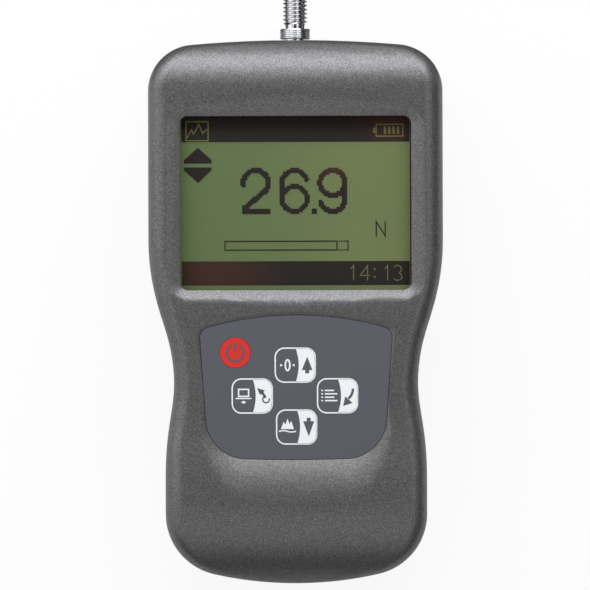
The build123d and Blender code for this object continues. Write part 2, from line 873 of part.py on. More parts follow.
# Nut that locks the stud on the load cell
with BuildPart() as stud_nut:
    with BuildSketch(Plane.XZ.offset(-nut_y)):
        with Locations((0, stud_z)):
            RegularPolygon(nut_flats / 2, 6, major_radius=False)
            Circle(thread_radius, mode=Mode.SUBTRACT)
    extrude(amount=-nut_thick)
stud_nut.part.label = "stud_nut"
export_step(stud_nut.part, "parts/stud_nut.step")

# Soft seal in the wall, with a flange inside
seal_inner = shaft_radius + seal_gap
wall_inside = half_length - wall
with BuildPart() as shaft_seal:
    with BuildSketch(Plane.XY.offset(stud_z)):
        with BuildLine():
            Polyline(
                (seal_inner, wall_inside - seal_gap - seal_flange_thick),
                (seal_radius + seal_flange, wall_inside - seal_gap - seal_flange_thick),
                (seal_radius + seal_flange, wall_inside - seal_gap),
                (seal_radius, wall_inside - seal_gap),
                (seal_radius, half_length - seal_gap),
                (seal_inner, half_length - seal_gap),
                close=True,
            )
        make_face()
    revolve(axis=stud_axis)
shaft_seal.part.label = "shaft_seal"
export_step(shaft_seal.part, "parts/shaft_seal.step")

# Load cell: an S-shaped beam, cut in from both sides, with the gauge hole between the cuts
upper_slot_y = cell_top - cell_arm - cell_slot / 2
lower_slot_y = cell_bottom + cell_arm + cell_slot / 2
slot_length = cell_width - cell_web
with BuildPart() as load_cell:
    with BuildSketch(Plane.XY.offset(stud_z - cell_thick / 2)):
        with Locations((0, cell_middle)):
            Rectangle(cell_width, cell_length)
            Rectangle(2 * cell_hole_spread, cell_hole_radius, mode=Mode.SUBTRACT)
            with GridLocations(2 * cell_hole_spread, 0, 2, 1):
                Circle(cell_hole_radius, mode=Mode.SUBTRACT)
        with Locations((-cell_web / 2, upper_slot_y)):
            Rectangle(slot_length, cell_slot, mode=Mode.SUBTRACT)
        with Locations((cell_web / 2, lower_slot_y)):
            Rectangle(slot_length, cell_slot, mode=Mode.SUBTRACT)
    extrude(amount=cell_thick)
    with BuildSketch(Plane.XZ.offset(-cell_top)):
        with Locations((0, stud_z)):
            Circle(thread_radius + thread_gap)
    extrude(amount=cell_arm, mode=Mode.SUBTRACT)
    with BuildSketch(Plane.XZ.offset(-cell_bottom)):
        with Locations((0, stud_z)):
            Circle(thread_radius)
    extrude(amount=-cell_arm, mode=Mode.SUBTRACT)
load_cell.part.label = "load_cell"
export_step(load_cell.part, "parts/load_cell.step")

# Four foil gauges on the thin webs over and under the hole
gauge_stand = (cell_slot - gauge_thick) / 2
with BuildPart() as strain_gauges:
    with BuildSketch(Plane.XY.offset(stud_z - gauge_width / 2)):
        for gauge_y in (upper_slot_y - gauge_stand, lower_slot_y + gauge_stand):
            with Locations((0, gauge_y)):
                with GridLocations(2 * cell_hole_spread, 0, 2, 1):
                    Rectangle(gauge_length, gauge_thick)
    extrude(amount=gauge_width)
strain_gauges.part.label = "strain_gauges"
export_step(strain_gauges.part, "parts/strain_gauges.step")

# Anchor: a plate on four pillars with an upright that the cell is bolted against
anchor_back = cell_bottom - anchor_thick
with BuildPart() as cell_anchor:
    with BuildSketch(Plane.XY.offset(plate_z)):
        with Locations((0, cell_bottom - plate_length / 2)):
            Rectangle(2 * plate_half_width, plate_length)
    extrude(amount=plate_thick)
    fillet(cell_anchor.edges().filter_by(Axis.Z), anchor_corner)
    with BuildSketch(Plane.XY.offset(plate_z + plate_thick)):
        with Locations((0, cell_bottom - anchor_thick / 2)):
            Rectangle(2 * anchor_half_width, anchor_thick)
    extrude(amount=stud_z + cell_thick / 2 - plate_z - plate_thick)
    with BuildSketch(Plane.XZ.offset(-cell_bottom)):
        with Locations((0, stud_z)):
            Circle(thread_radius)
    extrude(amount=anchor_thick, mode=Mode.SUBTRACT)
    with BuildSketch(Plane.XY.offset(plate_z)):
        with Locations(*anchor_screw_places):
            Circle(anchor_screw_radius)
    extrude(amount=plate_thick, mode=Mode.SUBTRACT)
cell_anchor.part.label = "cell_anchor"
export_step(cell_anchor.part, "parts/cell_anchor.step")

with BuildPart() as cell_bolt:
    with BuildSketch(Plane.XZ.offset(-anchor_back)):
        with Locations((0, stud_z)):
            Circle(bolt_head_radius)
    extrude(amount=bolt_head_height)
    with BuildSketch(Plane.XZ.offset(bolt_head_height - anchor_back)):
        with Locations((0, stud_z)):
            RegularPolygon(bolt_drive / 2, 6, major_radius=False)
    extrude(amount=-bolt_head_height / 2, mode=Mode.SUBTRACT)
    with BuildSketch(Plane.XZ.offset(-anchor_back)):
        with Locations((0, stud_z)):
            Circle(thread_radius)
    extrude(amount=-anchor_thick - bolt_engagement)
cell_bolt.part.label = "cell_bolt"
export_step(cell_bolt.part, "parts/cell_bolt.step")

with BuildPart() as anchor_screws:
    with BuildSketch(Plane.XY.offset(plate_z + plate_thick)):
        with Locations(*anchor_screw_places):
            Circle(anchor_head_radius)
    extrude(amount=anchor_head_height)
    with BuildSketch(Plane.XY.offset(plate_z + plate_thick)):
        with Locations(*anchor_screw_places):
            Circle(anchor_screw_radius)
    extrude(amount=-plate_thick - anchor_screw_grip + seat_clearance)
anchor_screws.part.label = "anchor_screws"
export_step(anchor_screws.part, "parts/anchor_screws.step")

# Battery pack: three cells side by side in a tray, joined by strips at their ends
battery_bottom_y = battery_top_y - cell_can - nub_length
battery_middle_y = (battery_top_y + battery_bottom_y) / 2
tray_half_width = cell_pitch + cell_radius + tray_gap
tray_half_length = (cell_can + nub_length) / 2 + strip_thick
with BuildPart() as battery_cells:
    for place in (-1, 0, 1):
        can_end = battery_top_y if place == 0 else battery_top_y - nub_length
        nub_end = battery_top_y if place else battery_bottom_y + nub_length
        with BuildSketch(Plane.XZ.offset(-can_end)):
            with Locations((place * cell_pitch, cell_z)):
                Circle(cell_radius)
        extrude(amount=cell_can)
        with BuildSketch(Plane.XZ.offset(-nub_end)):
            with Locations((place * cell_pitch, cell_z)):
                Circle(nub_radius)
        extrude(amount=nub_length)
battery_cells.part.label = "battery_cells"
export_step(battery_cells.part, "parts/battery_cells.step")

with BuildPart() as battery_tray:
    with BuildSketch(Plane.XY.offset(tray_z)):
        with Locations((0, battery_middle_y)):
            Rectangle(2 * (tray_half_width + tray_wall), 2 * (tray_half_length + tray_wall))
    extrude(amount=tray_wall + tray_height)
    with BuildSketch(Plane.XY.offset(tray_z + tray_wall)):
        with Locations((0, battery_middle_y)):
            Rectangle(2 * tray_half_width, 2 * tray_half_length)
    extrude(amount=tray_height, mode=Mode.SUBTRACT)
    with BuildSketch(Plane.XY.offset(tray_z + tray_wall)):
        with Locations((0, battery_middle_y)):
            with GridLocations(cell_pitch, 0, 2, 1):
                Rectangle(tray_rib, cell_can - 2 * nub_length)
    extrude(amount=tray_height / 3)
battery_tray.part.label = "battery_tray"
export_step(battery_tray.part, "parts/battery_tray.step")

with BuildPart() as battery_strips:
    for end, middle in ((battery_bottom_y - strip_thick, -cell_pitch / 2), (battery_top_y, cell_pitch / 2)):
        with BuildSketch(Plane.XZ.offset(-end)):
            with Locations((middle, cell_z)):
                Rectangle(cell_pitch + strip_height, strip_height)
        extrude(amount=-strip_thick)
battery_strips.part.label = "battery_strips"
export_step(battery_strips.part, "parts/battery_strips.step")

# Main board over the pack, with ears for the upper screws and a tongue down to the socket
with BuildPart() as main_board:
    with BuildSketch(Plane.XY.offset(board_z)):
        ear_middle_y = board_top_y - board_ear_length / 2
        tongue_top_y = board_bottom_y + board_tongue_length
        with Locations((0, ear_middle_y)):
            Rectangle(2 * board_ear_half_width, board_ear_length)
        with Locations((0, (board_top_y + tongue_top_y) / 2)):
            Rectangle(2 * board_half_width, board_top_y - tongue_top_y)
        with Locations((0, (board_top_y + board_bottom_y) / 2)):
            Rectangle(2 * board_tongue_half_width, board_top_y - board_bottom_y)
        with Locations(*board_screw_places):
            Circle(small_screw_radius, mode=Mode.SUBTRACT)
    extrude(amount=board_thick)
main_board.part.label = "main_board"
export_step(main_board.part, "parts/main_board.step")

with BuildPart() as board_screws:
    with BuildSketch(Plane.XY.offset(board_top)):
        with Locations(*board_screw_places):
            Circle(small_head_radius)
    extrude(amount=small_head_height)
    with BuildSketch(Plane.XY.offset(board_top)):
        with Locations(*board_screw_places):
            Circle(small_screw_radius)
    extrude(amount=-board_thick - small_screw_grip + 2 * seat_clearance)
board_screws.part.label = "board_screws"
export_step(board_screws.part, "parts/board_screws.step")

# What stands on the board
with BuildPart() as processor:
    with BuildSketch(Plane.XY.offset(board_top)):
        with Locations(processor_place):
            Rectangle(processor_size, processor_size)
    extrude(amount=chip_thick)
processor.part.label = "processor"
export_step(processor.part, "parts/processor.step")

with BuildPart() as board_chips:
    with BuildSketch(Plane.XY.offset(board_top)):
        with Locations(*chip_places):
            Rectangle(chip_width, chip_length)
    extrude(amount=chip_thick)
board_chips.part.label = "board_chips"
export_step(board_chips.part, "parts/board_chips.step")

with BuildPart() as buzzer:
    with BuildSketch(Plane.XY.offset(board_top)):
        with Locations(buzzer_place):
            Circle(buzzer_radius)
    extrude(amount=buzzer_height)
    with BuildSketch(Plane.XY.offset(board_top + buzzer_height)):
        with Locations(buzzer_place):
            Circle(buzzer_radius / 4)
    extrude(amount=-buzzer_height / 3, mode=Mode.SUBTRACT)
buzzer.part.label = "buzzer"
export_step(buzzer.part, "parts/buzzer.step")

coin_z = board_top + coin_clip
with BuildPart() as coin_cell:
    with BuildSketch(Plane.XY.offset(coin_z)):
        with Locations(coin_place):
            Circle(coin_radius)
    extrude(amount=coin_thick)
coin_cell.part.label = "coin_cell"
export_step(coin_cell.part, "parts/coin_cell.step")

with BuildPart() as coin_cell_holder:
    with BuildSketch(Plane.XY.offset(board_top)):
        with Locations(coin_place):
            Circle(coin_radius + coin_seat + coin_clip)
    extrude(amount=coin_clip + coin_thick / 2)
    with BuildSketch(Plane.XY.offset(coin_z)):
        with Locations(coin_place):
            Circle(coin_radius + coin_seat)
    extrude(amount=coin_thick, mode=Mode.SUBTRACT)
coin_cell_holder.part.label = "coin_cell_holder"
export_step(coin_cell_holder.part, "parts/coin_cell_holder.step")

# Connectors: for the keypad's tail, the display ribbon, the battery and the load cell
with BuildPart() as board_connectors:
    with BuildSketch(Plane.XY.offset(board_top)):
        with Locations((tail_x, tail_y)):
            Rectangle(tail_width + connector_wall, connector_width)
    extrude(amount=connector_height)
    with BuildSketch(Plane.XY.offset(board_top + tail_stand - seat_clearance)):
        with Locations((tail_x, tail_y)):
            Rectangle(tail_width + 2 * seat_clearance, circuit_thick + 2 * seat_clearance)
    extrude(amount=connector_height, mode=Mode.SUBTRACT)
    with BuildSketch(Plane.XY.offset(board_top)):
        with Locations((battery_lead_x, lead_connector_y), (cell_lead_x, lead_connector_y)):
            Rectangle(connector_length, connector_width)
    extrude(amount=connector_height)
    with BuildSketch(Plane.XY.offset(board_top)):
        with Locations((0, ribbon_low_y - connector_width / 2)):
            Rectangle(ribbon_width + connector_wall, connector_width)
    extrude(amount=ribbon_connector_height)
    with BuildSketch(Plane.XY.offset(lcd_board_z)):
        with Locations((0, ribbon_high_y + connector_width / 2)):
            Rectangle(ribbon_width + connector_wall, connector_width)
    extrude(amount=-ribbon_connector_height)
board_connectors.part.label = "board_connectors"
export_step(board_connectors.part, "parts/board_connectors.step")

ribbon_low_z = board_top + ribbon_stand
ribbon_high_z = lcd_board_z - ribbon_hang
with BuildPart() as lcd_ribbon:
    with BuildSketch(Plane.YZ):
        with BuildLine():
            Polyline(
                (ribbon_low_y, ribbon_low_z),
                (ribbon_high_y, ribbon_high_z),
                (ribbon_high_y, ribbon_high_z + strip_thick),
                (ribbon_low_y, ribbon_low_z + strip_thick),
                close=True,
            )
        make_face()
    extrude(amount=ribbon_width / 2, both=True)
lcd_ribbon.part.label = "lcd_ribbon"
export_step(lcd_ribbon.part, "parts/lcd_ribbon.step")

# Leads: a screened one from the load cell's side, a pair from the battery tray
with BuildLine() as cell_route:
    FilletPolyline(
        (-cell_width / 2, cell_middle, stud_z),
        (cell_lead_x, cell_middle, stud_z),
        (cell_lead_x, lead_rise_y, stud_z),
        (cell_lead_x, lead_rise_y, lead_z),
        (cell_lead_x, lead_connector_y + connector_width / 2, lead_z),
        radius=cell_lead_bend,
    )
with BuildPart() as load_cell_lead:
    with BuildSketch(Plane(origin=cell_route.line @ 0, z_dir=cell_route.line % 0)):
        Circle(cell_lead_radius)
    sweep(path=cell_route.line)
load_cell_lead.part.label = "load_cell_lead"
export_step(load_cell_lead.part, "parts/load_cell_lead.step")

tray_end_y = battery_middle_y + tray_half_length + tray_wall
battery_wires = []
for side in (-1, 1):
    wire_x = battery_lead_x + side * battery_lead_spread
    with BuildLine() as wire_route:
        FilletPolyline(
            (wire_x, tray_end_y, cell_z),
            (wire_x, lead_rise_y, cell_z),
            (wire_x, lead_rise_y, lead_z),
            (wire_x, lead_connector_y + connector_width / 2, lead_z),
            radius=battery_lead_bend,
        )
    with BuildPart() as wire:
        with BuildSketch(Plane(origin=wire_route.line @ 0, z_dir=wire_route.line % 0)):
            Circle(lead_radius)
        sweep(path=wire_route.line)
    battery_wires.append(wire.part)
with BuildPart() as battery_lead:
    add(battery_wires)
battery_lead.part.label = "battery_lead"
export_step(battery_lead.part, "parts/battery_lead.step")

# Data and charging socket under the board, open through the lower end wall
socket_mouth_y = socket_recess - half_length
with BuildPart() as socket_shell:
    with BuildSketch(Plane.XZ.offset(-socket_mouth_y)):
        with Locations((0, socket_z)):
            Rectangle(socket_width, socket_height)
    extrude(amount=-socket_length)
    with BuildSketch(Plane.XZ.offset(-socket_mouth_y)):
        with Locations((0, socket_z)):
            Rectangle(socket_width - 2 * socket_sheet, socket_height - 2 * socket_sheet)
    extrude(amount=socket_sheet - socket_length, mode=Mode.SUBTRACT)
socket_shell.part.label = "socket_shell"
export_step(socket_shell.part, "parts/socket_shell.step")

with BuildPart() as socket_tongue:
    with BuildSketch(Plane.XZ.offset(-socket_mouth_y - socket_recess)):
        with Locations((0, socket_z)):
            Rectangle(socket_tongue_width, socket_tongue_thick)
    extrude(amount=socket_sheet + socket_recess - socket_length)
socket_tongue.part.label = "socket_tongue"
export_step(socket_tongue.part, "parts/socket_tongue.step")
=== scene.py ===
"""The looks of the hand-held force gauge: painted case, lit display, printed keypad, threaded stud.

Everything is in metres, in the frame of the solid model: the gauge lies on its back, +Z leaves the
display and +Y points along the stud. Places come from the frame's own boxes and joints.
"""
import json
import math

import bmesh
import bpy
import numpy as np
from bpy.props import FloatProperty, FloatVectorProperty, IntProperty, PointerProperty
from bpy.types import NodeSocket, Operator, Panel, PropertyGroup
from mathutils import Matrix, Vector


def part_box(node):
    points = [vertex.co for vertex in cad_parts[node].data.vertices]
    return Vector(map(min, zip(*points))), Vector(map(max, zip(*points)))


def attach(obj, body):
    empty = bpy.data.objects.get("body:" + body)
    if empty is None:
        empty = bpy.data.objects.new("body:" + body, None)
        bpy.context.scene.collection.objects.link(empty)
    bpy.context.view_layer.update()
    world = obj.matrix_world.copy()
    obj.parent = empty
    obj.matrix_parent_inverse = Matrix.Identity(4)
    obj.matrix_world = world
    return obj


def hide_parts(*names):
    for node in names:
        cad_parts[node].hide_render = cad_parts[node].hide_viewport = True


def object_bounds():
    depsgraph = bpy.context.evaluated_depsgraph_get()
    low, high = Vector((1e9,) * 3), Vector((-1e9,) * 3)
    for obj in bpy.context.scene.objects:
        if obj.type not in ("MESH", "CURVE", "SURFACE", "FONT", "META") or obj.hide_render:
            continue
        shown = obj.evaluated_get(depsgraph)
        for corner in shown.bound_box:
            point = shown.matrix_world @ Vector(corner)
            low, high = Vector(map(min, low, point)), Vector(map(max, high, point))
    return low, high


bl_info = {
    "name": "Force gauge looks",
    "version": (1, 0, 0),
    "blender": (4, 5, 0),
    "location": "View3D > Sidebar > Gauge",
    "description": "Dresses the force gauge: paint, display, keypad print, thread and studio",
    "category": "Object",
}

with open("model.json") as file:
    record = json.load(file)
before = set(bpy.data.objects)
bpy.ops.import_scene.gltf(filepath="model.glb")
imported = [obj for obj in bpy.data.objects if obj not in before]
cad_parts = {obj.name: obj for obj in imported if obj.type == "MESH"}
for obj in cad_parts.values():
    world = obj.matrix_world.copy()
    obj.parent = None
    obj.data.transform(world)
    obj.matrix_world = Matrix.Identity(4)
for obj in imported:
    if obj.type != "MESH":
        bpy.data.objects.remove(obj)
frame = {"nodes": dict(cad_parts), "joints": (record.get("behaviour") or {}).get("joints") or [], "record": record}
cad_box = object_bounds()
mm = 0.001
slot_of = {row["node"]: row["material_slot"] for row in frame["record"]["subparts"]}
body_of = {name: body for body, names in frame["record"]["behaviour"]["bodies"].items() for name in names}
same_point = 0.001 * mm
dull = {"Roughness": 0.45, "Specular IOR Level": 0.05}


def colour_setting(name, description, default):
    """A linear colour that a user can change."""
    return FloatVectorProperty(
        name=name, description=description, subtype="COLOR", size=3, min=0, max=1, default=default
    )


def in_mm(name, description, default):
    """A length, given in millimetres, that a user can change."""
    return FloatProperty(name=name, description=description, unit="LENGTH", min=0, default=default * mm)


def share_setting(name, description, default):
    """A number from 0 to 1 that a user can change."""
    return FloatProperty(
        name=name, description=description, subtype="FACTOR", min=0, max=1, default=default
    )


class CasePaint(PropertyGroup):
    """The metallic paint of the case."""

    shade: colour_setting("Shade", "The paint between its flakes", (0.076, 0.073, 0.070))
    flake: colour_setting("Flake", "The paint's bright flakes", (0.27, 0.265, 0.265))
    metal: share_setting("Metal", "How metallic the paint is", 0.62)
    roughness: share_setting("Roughness", "How wide the paint's highlights are", 0.4)
    grain: in_mm("Grain", "Width of a flake", 0.18)
    texture: in_mm("Texture", "Height of the paint's fine texture", 0.012)
    sharp_angle: FloatProperty(
        name="Sharp angle",
        description="Edges that turn more than this stay sharp",
        subtype="ANGLE",
        default=math.radians(24),
    )


class DisplayLook(PropertyGroup):
    """The dot-matrix display."""

    pitch: in_mm("Dot pitch", "From one dot to the next", 0.435)
    columns: IntProperty(name="Columns", description="Dots across the picture", min=8, default=128)
    rows: IntProperty(name="Rows", description="Dots down the picture", min=8, default=94)
    drop: in_mm("Drop", "From the opening's top edge to the first row of dots", 0.42)
    bar_rows: FloatProperty(name="Bar", description="Dots down a dark bar", min=1, default=13.5)
    lap: in_mm("Lap", "How far the case's edge laps over the window", 1.05)
    line: in_mm("Line", "Width of a thin line on the display", 0.3)
    ink_lift: in_mm("Ink lift", "Height of the dots over the glass", 0.02)
    ink_thick: in_mm("Ink thickness", "Thickness of the dots", 0.03)
    ground: colour_setting("Ground", "The lit ground on the left", (0.115, 0.157, 0.065))
    ground_far: colour_setting("Far ground", "The lit ground on the right", (0.152, 0.183, 0.077))
    ink: colour_setting("Ink", "A dark dot", (0.026, 0.021, 0.019))
    ink_warm: colour_setting("Warm ink", "A dark dot that looks brown from here", (0.056, 0.026, 0.02))
    faint: colour_setting("Faint", "A light line in a dark bar", (0.15, 0.14, 0.055))
    glow: share_setting("Glow", "How much of the ground's colour is its own light", 0.04)


class KeypadPrint(PropertyGroup):
    """The printed film and its keys."""

    film: colour_setting("Film", "The film's slate grey", (0.095, 0.097, 0.112))
    white: colour_setting("White", "The white print", (0.93, 0.93, 0.93))
    red: colour_setting("Red", "The power key", (0.68, 0.024, 0.018))
    line: in_mm("Line", "Width of a key's outline", 0.34)
    print_lift: in_mm("Print lift", "Height of the print over the film", 0.01)
    print_thick: in_mm("Print thickness", "Thickness of the print", 0.02)
    corner: in_mm("Corner", "Corner radius of a key", 2.4)
    bulge: in_mm("Bulge", "How far a key's dividing line bulges", 0.75)


class StudShape(PropertyGroup):
    """The measuring stud and its collar."""

    pitch: in_mm("Pitch", "From one crest of the thread to the next", 1.0)
    depth: in_mm("Depth", "Crest to root of the thread", 0.61)
    crest: in_mm("Crest", "Radius over the thread", 2.97)
    shaft: in_mm("Shaft", "Radius of the plain shaft", 2.75)
    undercut: in_mm("Undercut", "Radius of the neck under the thread", 2.3)
    undercut_length: in_mm("Undercut length", "Length of that neck", 0.9)
    chamfer: in_mm("Chamfer", "Chamfer of the tip", 0.6)
    collar_rings: IntProperty(name="Rings", description="Fine rings round the collar", min=1, default=5)
    collar_depth: in_mm("Ring depth", "Depth between two rings", 0.2)


class FittingSizes(PropertyGroup):
    """The stand inserts and the data socket's contacts."""

    insert_radius: in_mm("Insert radius", "Radius over an insert", 3.5)
    insert_bore: in_mm("Bore", "Radius inside an insert's thread", 2.1)
    insert_depth: in_mm("Thread depth", "Depth of an insert's thread", 0.4)
    insert_pitch: in_mm("Thread pitch", "Pitch of an insert's thread", 0.8)
    lead_in: in_mm("Lead-in", "Chamfer at an insert's mouth", 0.4)
    contacts: IntProperty(name="Contacts", description="Strips on one face of the tongue", min=1, default=8)
    contact_width: in_mm("Contact width", "Width of a strip", 0.24)
    contact_inset: in_mm("Contact inset", "From the tongue's end to a strip", 0.5)
    contact_length: in_mm("Contact length", "Length of a strip", 4.0)
    contact_thick: in_mm("Contact thickness", "Thickness of a strip", 0.03)
    knurl: in_mm("Knurl", "Depth of an insert's knurl", 0.08)


class StudioSetup(PropertyGroup):
    """Camera, floor and lamps."""

    frame_width: in_mm("Frame width", "Width of the picture at the case", 145.0)
    frame_height_over_floor: in_mm("Frame plane", "Height where that width holds", 21.0)
    distance: in_mm("Distance", "From the camera to that height", 1400.0)
    middle: FloatVectorProperty(
        name="Middle",
        description="The point of the case under the picture's middle",
        unit="LENGTH",
        size=2,
        default=(-0.2 * mm, 4.2 * mm),
    )
    roll: FloatProperty(
        name="Roll",
        description="Turn of the camera about its own axis",
        subtype="ANGLE",
        default=math.radians(-0.17),
    )
    tint: colour_setting("Tint", "The lamps' cool white", (0.90, 0.93, 1.0))
    top_lamp: FloatProperty(name="Top lamp", description="Watts of the lamp past the stud", default=3.8)
    left_lamp: FloatProperty(name="Left lamp", description="Watts of the lamp on the left", default=0.75)
    world: share_setting("World", "Strength of the light from all round", 0.51)


# Mesh helpers


def weave(rows, columns, wrap=False):
    """Corner numbers of the quads of a grid of points: each takes a point, its neighbour in the row,
    and the same two in the next row. With wrap, a row's last point joins its first."""
    quads = columns if wrap else columns - 1
    row, column = np.meshgrid(np.arange(rows - 1), np.arange(quads), indexing="ij")
    here, beside = row * columns + column, row * columns + (column + 1) % columns
    return np.stack([here, beside, beside + columns, here + columns], -1).reshape(-1, 4)


def add_object(name, data):
    """An object with this data, in the scene."""
    made = bpy.data.objects.new(name, data)
    bpy.context.scene.collection.objects.link(made)
    return made


def join_points(mesh, reach):
    """Merges the points of a mesh that lie within reach of each other."""
    work = bmesh.new()
    work.from_mesh(mesh)
    bmesh.ops.remove_doubles(work, verts=work.verts, dist=reach)
    work.to_mesh(mesh)
    work.free()


def new_piece(name, points, faces, smooth=True):
    """An object with these points and faces, its doubled points merged, at the origin."""
    mesh = bpy.data.meshes.new(name)
    points = np.asarray(points, float).reshape(-1, 3).tolist()
    mesh.from_pydata(points, [], [list(face) for face in faces], shade_flat=not smooth)
    join_points(mesh, same_point / 5)
    return add_object(name, mesh)


def lay_on(piece, source, material):
    """Gives a piece its material, and lets it ride on a node's body."""
    piece.data.materials.clear()
    piece.data.materials.append(material)
    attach(piece, body_of[source])


def stand_for(piece, source):
    """Lets a piece stand for a node, in the node's own material."""
    lay_on(piece, source, frame["nodes"][source].data.materials[0])
    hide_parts(source)


def lay_print(name, points, faces, thickness, source, material):
    """A flat print or a set of dots, thick outwards from its face, laid on a node."""
    piece = new_piece(name, points, faces, smooth=False)
    solid = piece.modifiers.new("Thickness", "SOLIDIFY")
    solid.thickness = thickness
    solid.offset = 1
    lay_on(piece, source, material)


def lay_solid(name, points, faces, sharp_degrees, source):
    """A smooth piece, its edges over an angle kept sharp, that stands for a node."""
    piece = new_piece(name, points, faces)
    piece.data.set_sharp_from_angle(angle=math.radians(sharp_degrees))
    stand_for(piece, source)


def read_all(rows, name, width, kind=float):
    """One value of every row of a mesh, such as each face's area, as an array width numbers wide."""
    values = np.empty(len(rows) * width, kind)
    rows.foreach_get(name, values)
    return values.reshape(-1, width)


def even_shading(mesh, sharp_angle, neighbour_share):
    """Gives each corner a normal: its fan's face normals times their areas, summed, plus a share of
    the same sums at the far ends of the fan's edges. A fan ends at edges sharper than the angle."""
    no_length = 1e-20
    work = bmesh.new()
    work.from_mesh(mesh)
    sharp = [edge for edge in work.edges if not edge.is_manifold or edge.calc_face_angle() > sharp_angle]
    bmesh.ops.split_edges(work, edges=sharp)
    fans = bpy.data.meshes.new("fans")
    work.to_mesh(fans)
    work.free()
    vertex = read_all(fans.loops, "vertex_index", 1, int)[:, 0]
    corners = read_all(fans.polygons, "loop_total", 1, int)[:, 0]
    weighted = read_all(fans.polygons, "normal", 3) * read_all(fans.polygons, "area", 1)
    one, other = read_all(fans.edges, "vertices", 2, int).T
    sums = np.zeros((len(fans.vertices), 3))
    np.add.at(sums, vertex, np.repeat(weighted, corners, axis=0))
    evened = sums.copy()
    np.add.at(evened, one, neighbour_share * sums[other])
    np.add.at(evened, other, neighbour_share * sums[one])
    evened /= np.maximum(np.linalg.norm(evened, axis=1), no_length)[:, None]
    mesh.normals_split_custom_set(evened[vertex].tolist())
    bpy.data.meshes.remove(fans)


def turned(radius, height, turns):
    """A surface of revolution about Z: at each height the radius, carried once round.

    radius is one number a height, or one for each height and angle, so that a thread can wind."""
    angle = np.linspace(0, 2 * np.pi, turns, endpoint=False)
    radius = np.asarray(radius, float)
    radius = radius if radius.ndim == 2 else np.repeat(radius[:, None], turns, 1)
    height = np.repeat(np.asarray(height, float)[:, None], turns, 1)
    points = np.stack([radius * np.cos(angle), radius * np.sin(angle), height], -1)
    return points.reshape(-1, 3), weave(len(height), turns, wrap=True)


def along_stud(points, axis_height):
    """Turns points made about Z so that their Z runs along +Y, on the stud's axis."""
    x, y, z = points.T
    return np.stack([x, z, axis_height - y], -1)


def thread_height(along, turns, pitch):
    """How full the thread is at each length and angle, from 0 at the root to 1 at the crest.

    The place's share of a turn is its length over the pitch, less its share of the circle; the crest
    and the root are flats, and straight flanks join them."""
    crest_flat, root_flat = 0.125, 0.25
    share = (along[:, None] / pitch - np.arange(turns) / turns) % 1
    from_crest = np.abs(2 * share - 1)
    return np.clip((1 - root_flat - from_crest) / (1 - root_flat - crest_flat), 0, 1)


def rounded_box(width, height, corner, steps=12):
    """Points round a rectangle with round corners: each corner's centre plus its radius at an angle."""
    quarter = np.linspace(0, np.pi / 2, steps)
    angle = np.concatenate([quarter + turn * np.pi / 2 for turn in range(4)])
    across = np.repeat([1, -1, -1, 1], steps) * (width / 2 - corner)
    up = np.repeat([1, 1, -1, -1], steps) * (height / 2 - corner)
    return np.stack([across + corner * np.cos(angle), up + corner * np.sin(angle)], -1)


def rectangle(left, top, right, bottom):
    """The four corners of a rectangle."""
    return [(left, top), (right, top), (right, bottom), (left, bottom)]


def bow(centre, radii, start, end, steps=24):
    """Points along part of an ellipse, from one angle to another in degrees."""
    angle = np.radians(np.linspace(start, end, steps))
    return np.stack([centre[0] + radii[0] * np.cos(angle), centre[1] + radii[1] * np.sin(angle)], -1)


def ribbon(path, width, closed=False):
    """A flat band along a path: each point moved to both sides along the mitre of its two runs."""
    path = np.asarray(path, float)
    runs = np.diff(path, axis=0, append=path[:1])
    if not closed:
        runs[-1] = runs[-2]
    runs /= np.linalg.norm(runs, axis=1)[:, None]
    before = np.roll(runs, 1, axis=0)
    if not closed:
        before[0] = runs[0]
    left = np.stack([-runs[:, 1] - before[:, 1], runs[:, 0] + before[:, 0]], -1)
    left /= (1 + (runs * before).sum(1))[:, None]
    aside = left * width / 2
    return np.concatenate([path - aside, path + aside]), weave(2, len(path), wrap=closed)


def patch(outline):
    """One flat face inside an outline, turned to face up."""
    outline = np.asarray(outline, float)
    x, y = outline.T
    turn = (x * np.roll(y, -1) - y * np.roll(x, -1)).sum()
    return (outline if turn > 0 else outline[::-1]), [list(range(len(outline)))]


def join_shapes(shapes):
    """Several flat shapes as one list of points and faces."""
    points, faces, start = [], [], 0
    for shape_points, shape_faces in shapes:
        points.append(shape_points)
        faces += [[start + corner for corner in face] for face in shape_faces]
        start += len(shape_points)
    return np.concatenate(points), faces


# Material helpers


def node(tree, kind, reads=None, **settings):
    """Adds a shader node with its settings; each input gets a value, or another node's output."""
    made = tree.nodes.new("ShaderNode" + kind)
    for name, value in settings.items():
        setattr(made, name, value)
    for socket, value in (reads or {}).items():
        if isinstance(value, NodeSocket):
            tree.links.new(value, made.inputs[socket])
        else:
            made.inputs[socket].default_value = value
    return made


def calculate(tree, operation, one, other, **settings):
    """A number worked out from two others."""
    return node(tree, "Math", {0: one, 1: other}, operation=operation, **settings).outputs[0]


def ray_is(tree, *kinds):
    """1 where the ray is of one of these kinds, otherwise 0."""
    outputs = node(tree, "LightPath").outputs
    found = outputs[f"Is {kinds[0]} Ray"]
    for kind in kinds[1:]:
        found = calculate(tree, "MAXIMUM", found, outputs[f"Is {kind} Ray"])
    return found


def wire(shader, **outputs):
    """Links outputs to the shader's inputs, which are named with _ for a space."""
    for name, output in outputs.items():
        shader.id_data.links.new(output, shader.inputs[name.replace("_", " ")])


def surface(tree, share, one, other, end="Material Output"):
    """Puts a shader between two, by share, on the material or the world."""
    mix = node(tree, "MixShader", {0: share, 1: one, 2: other}).outputs[0]
    tree.links.new(mix, tree.nodes[end].inputs["Surface"])


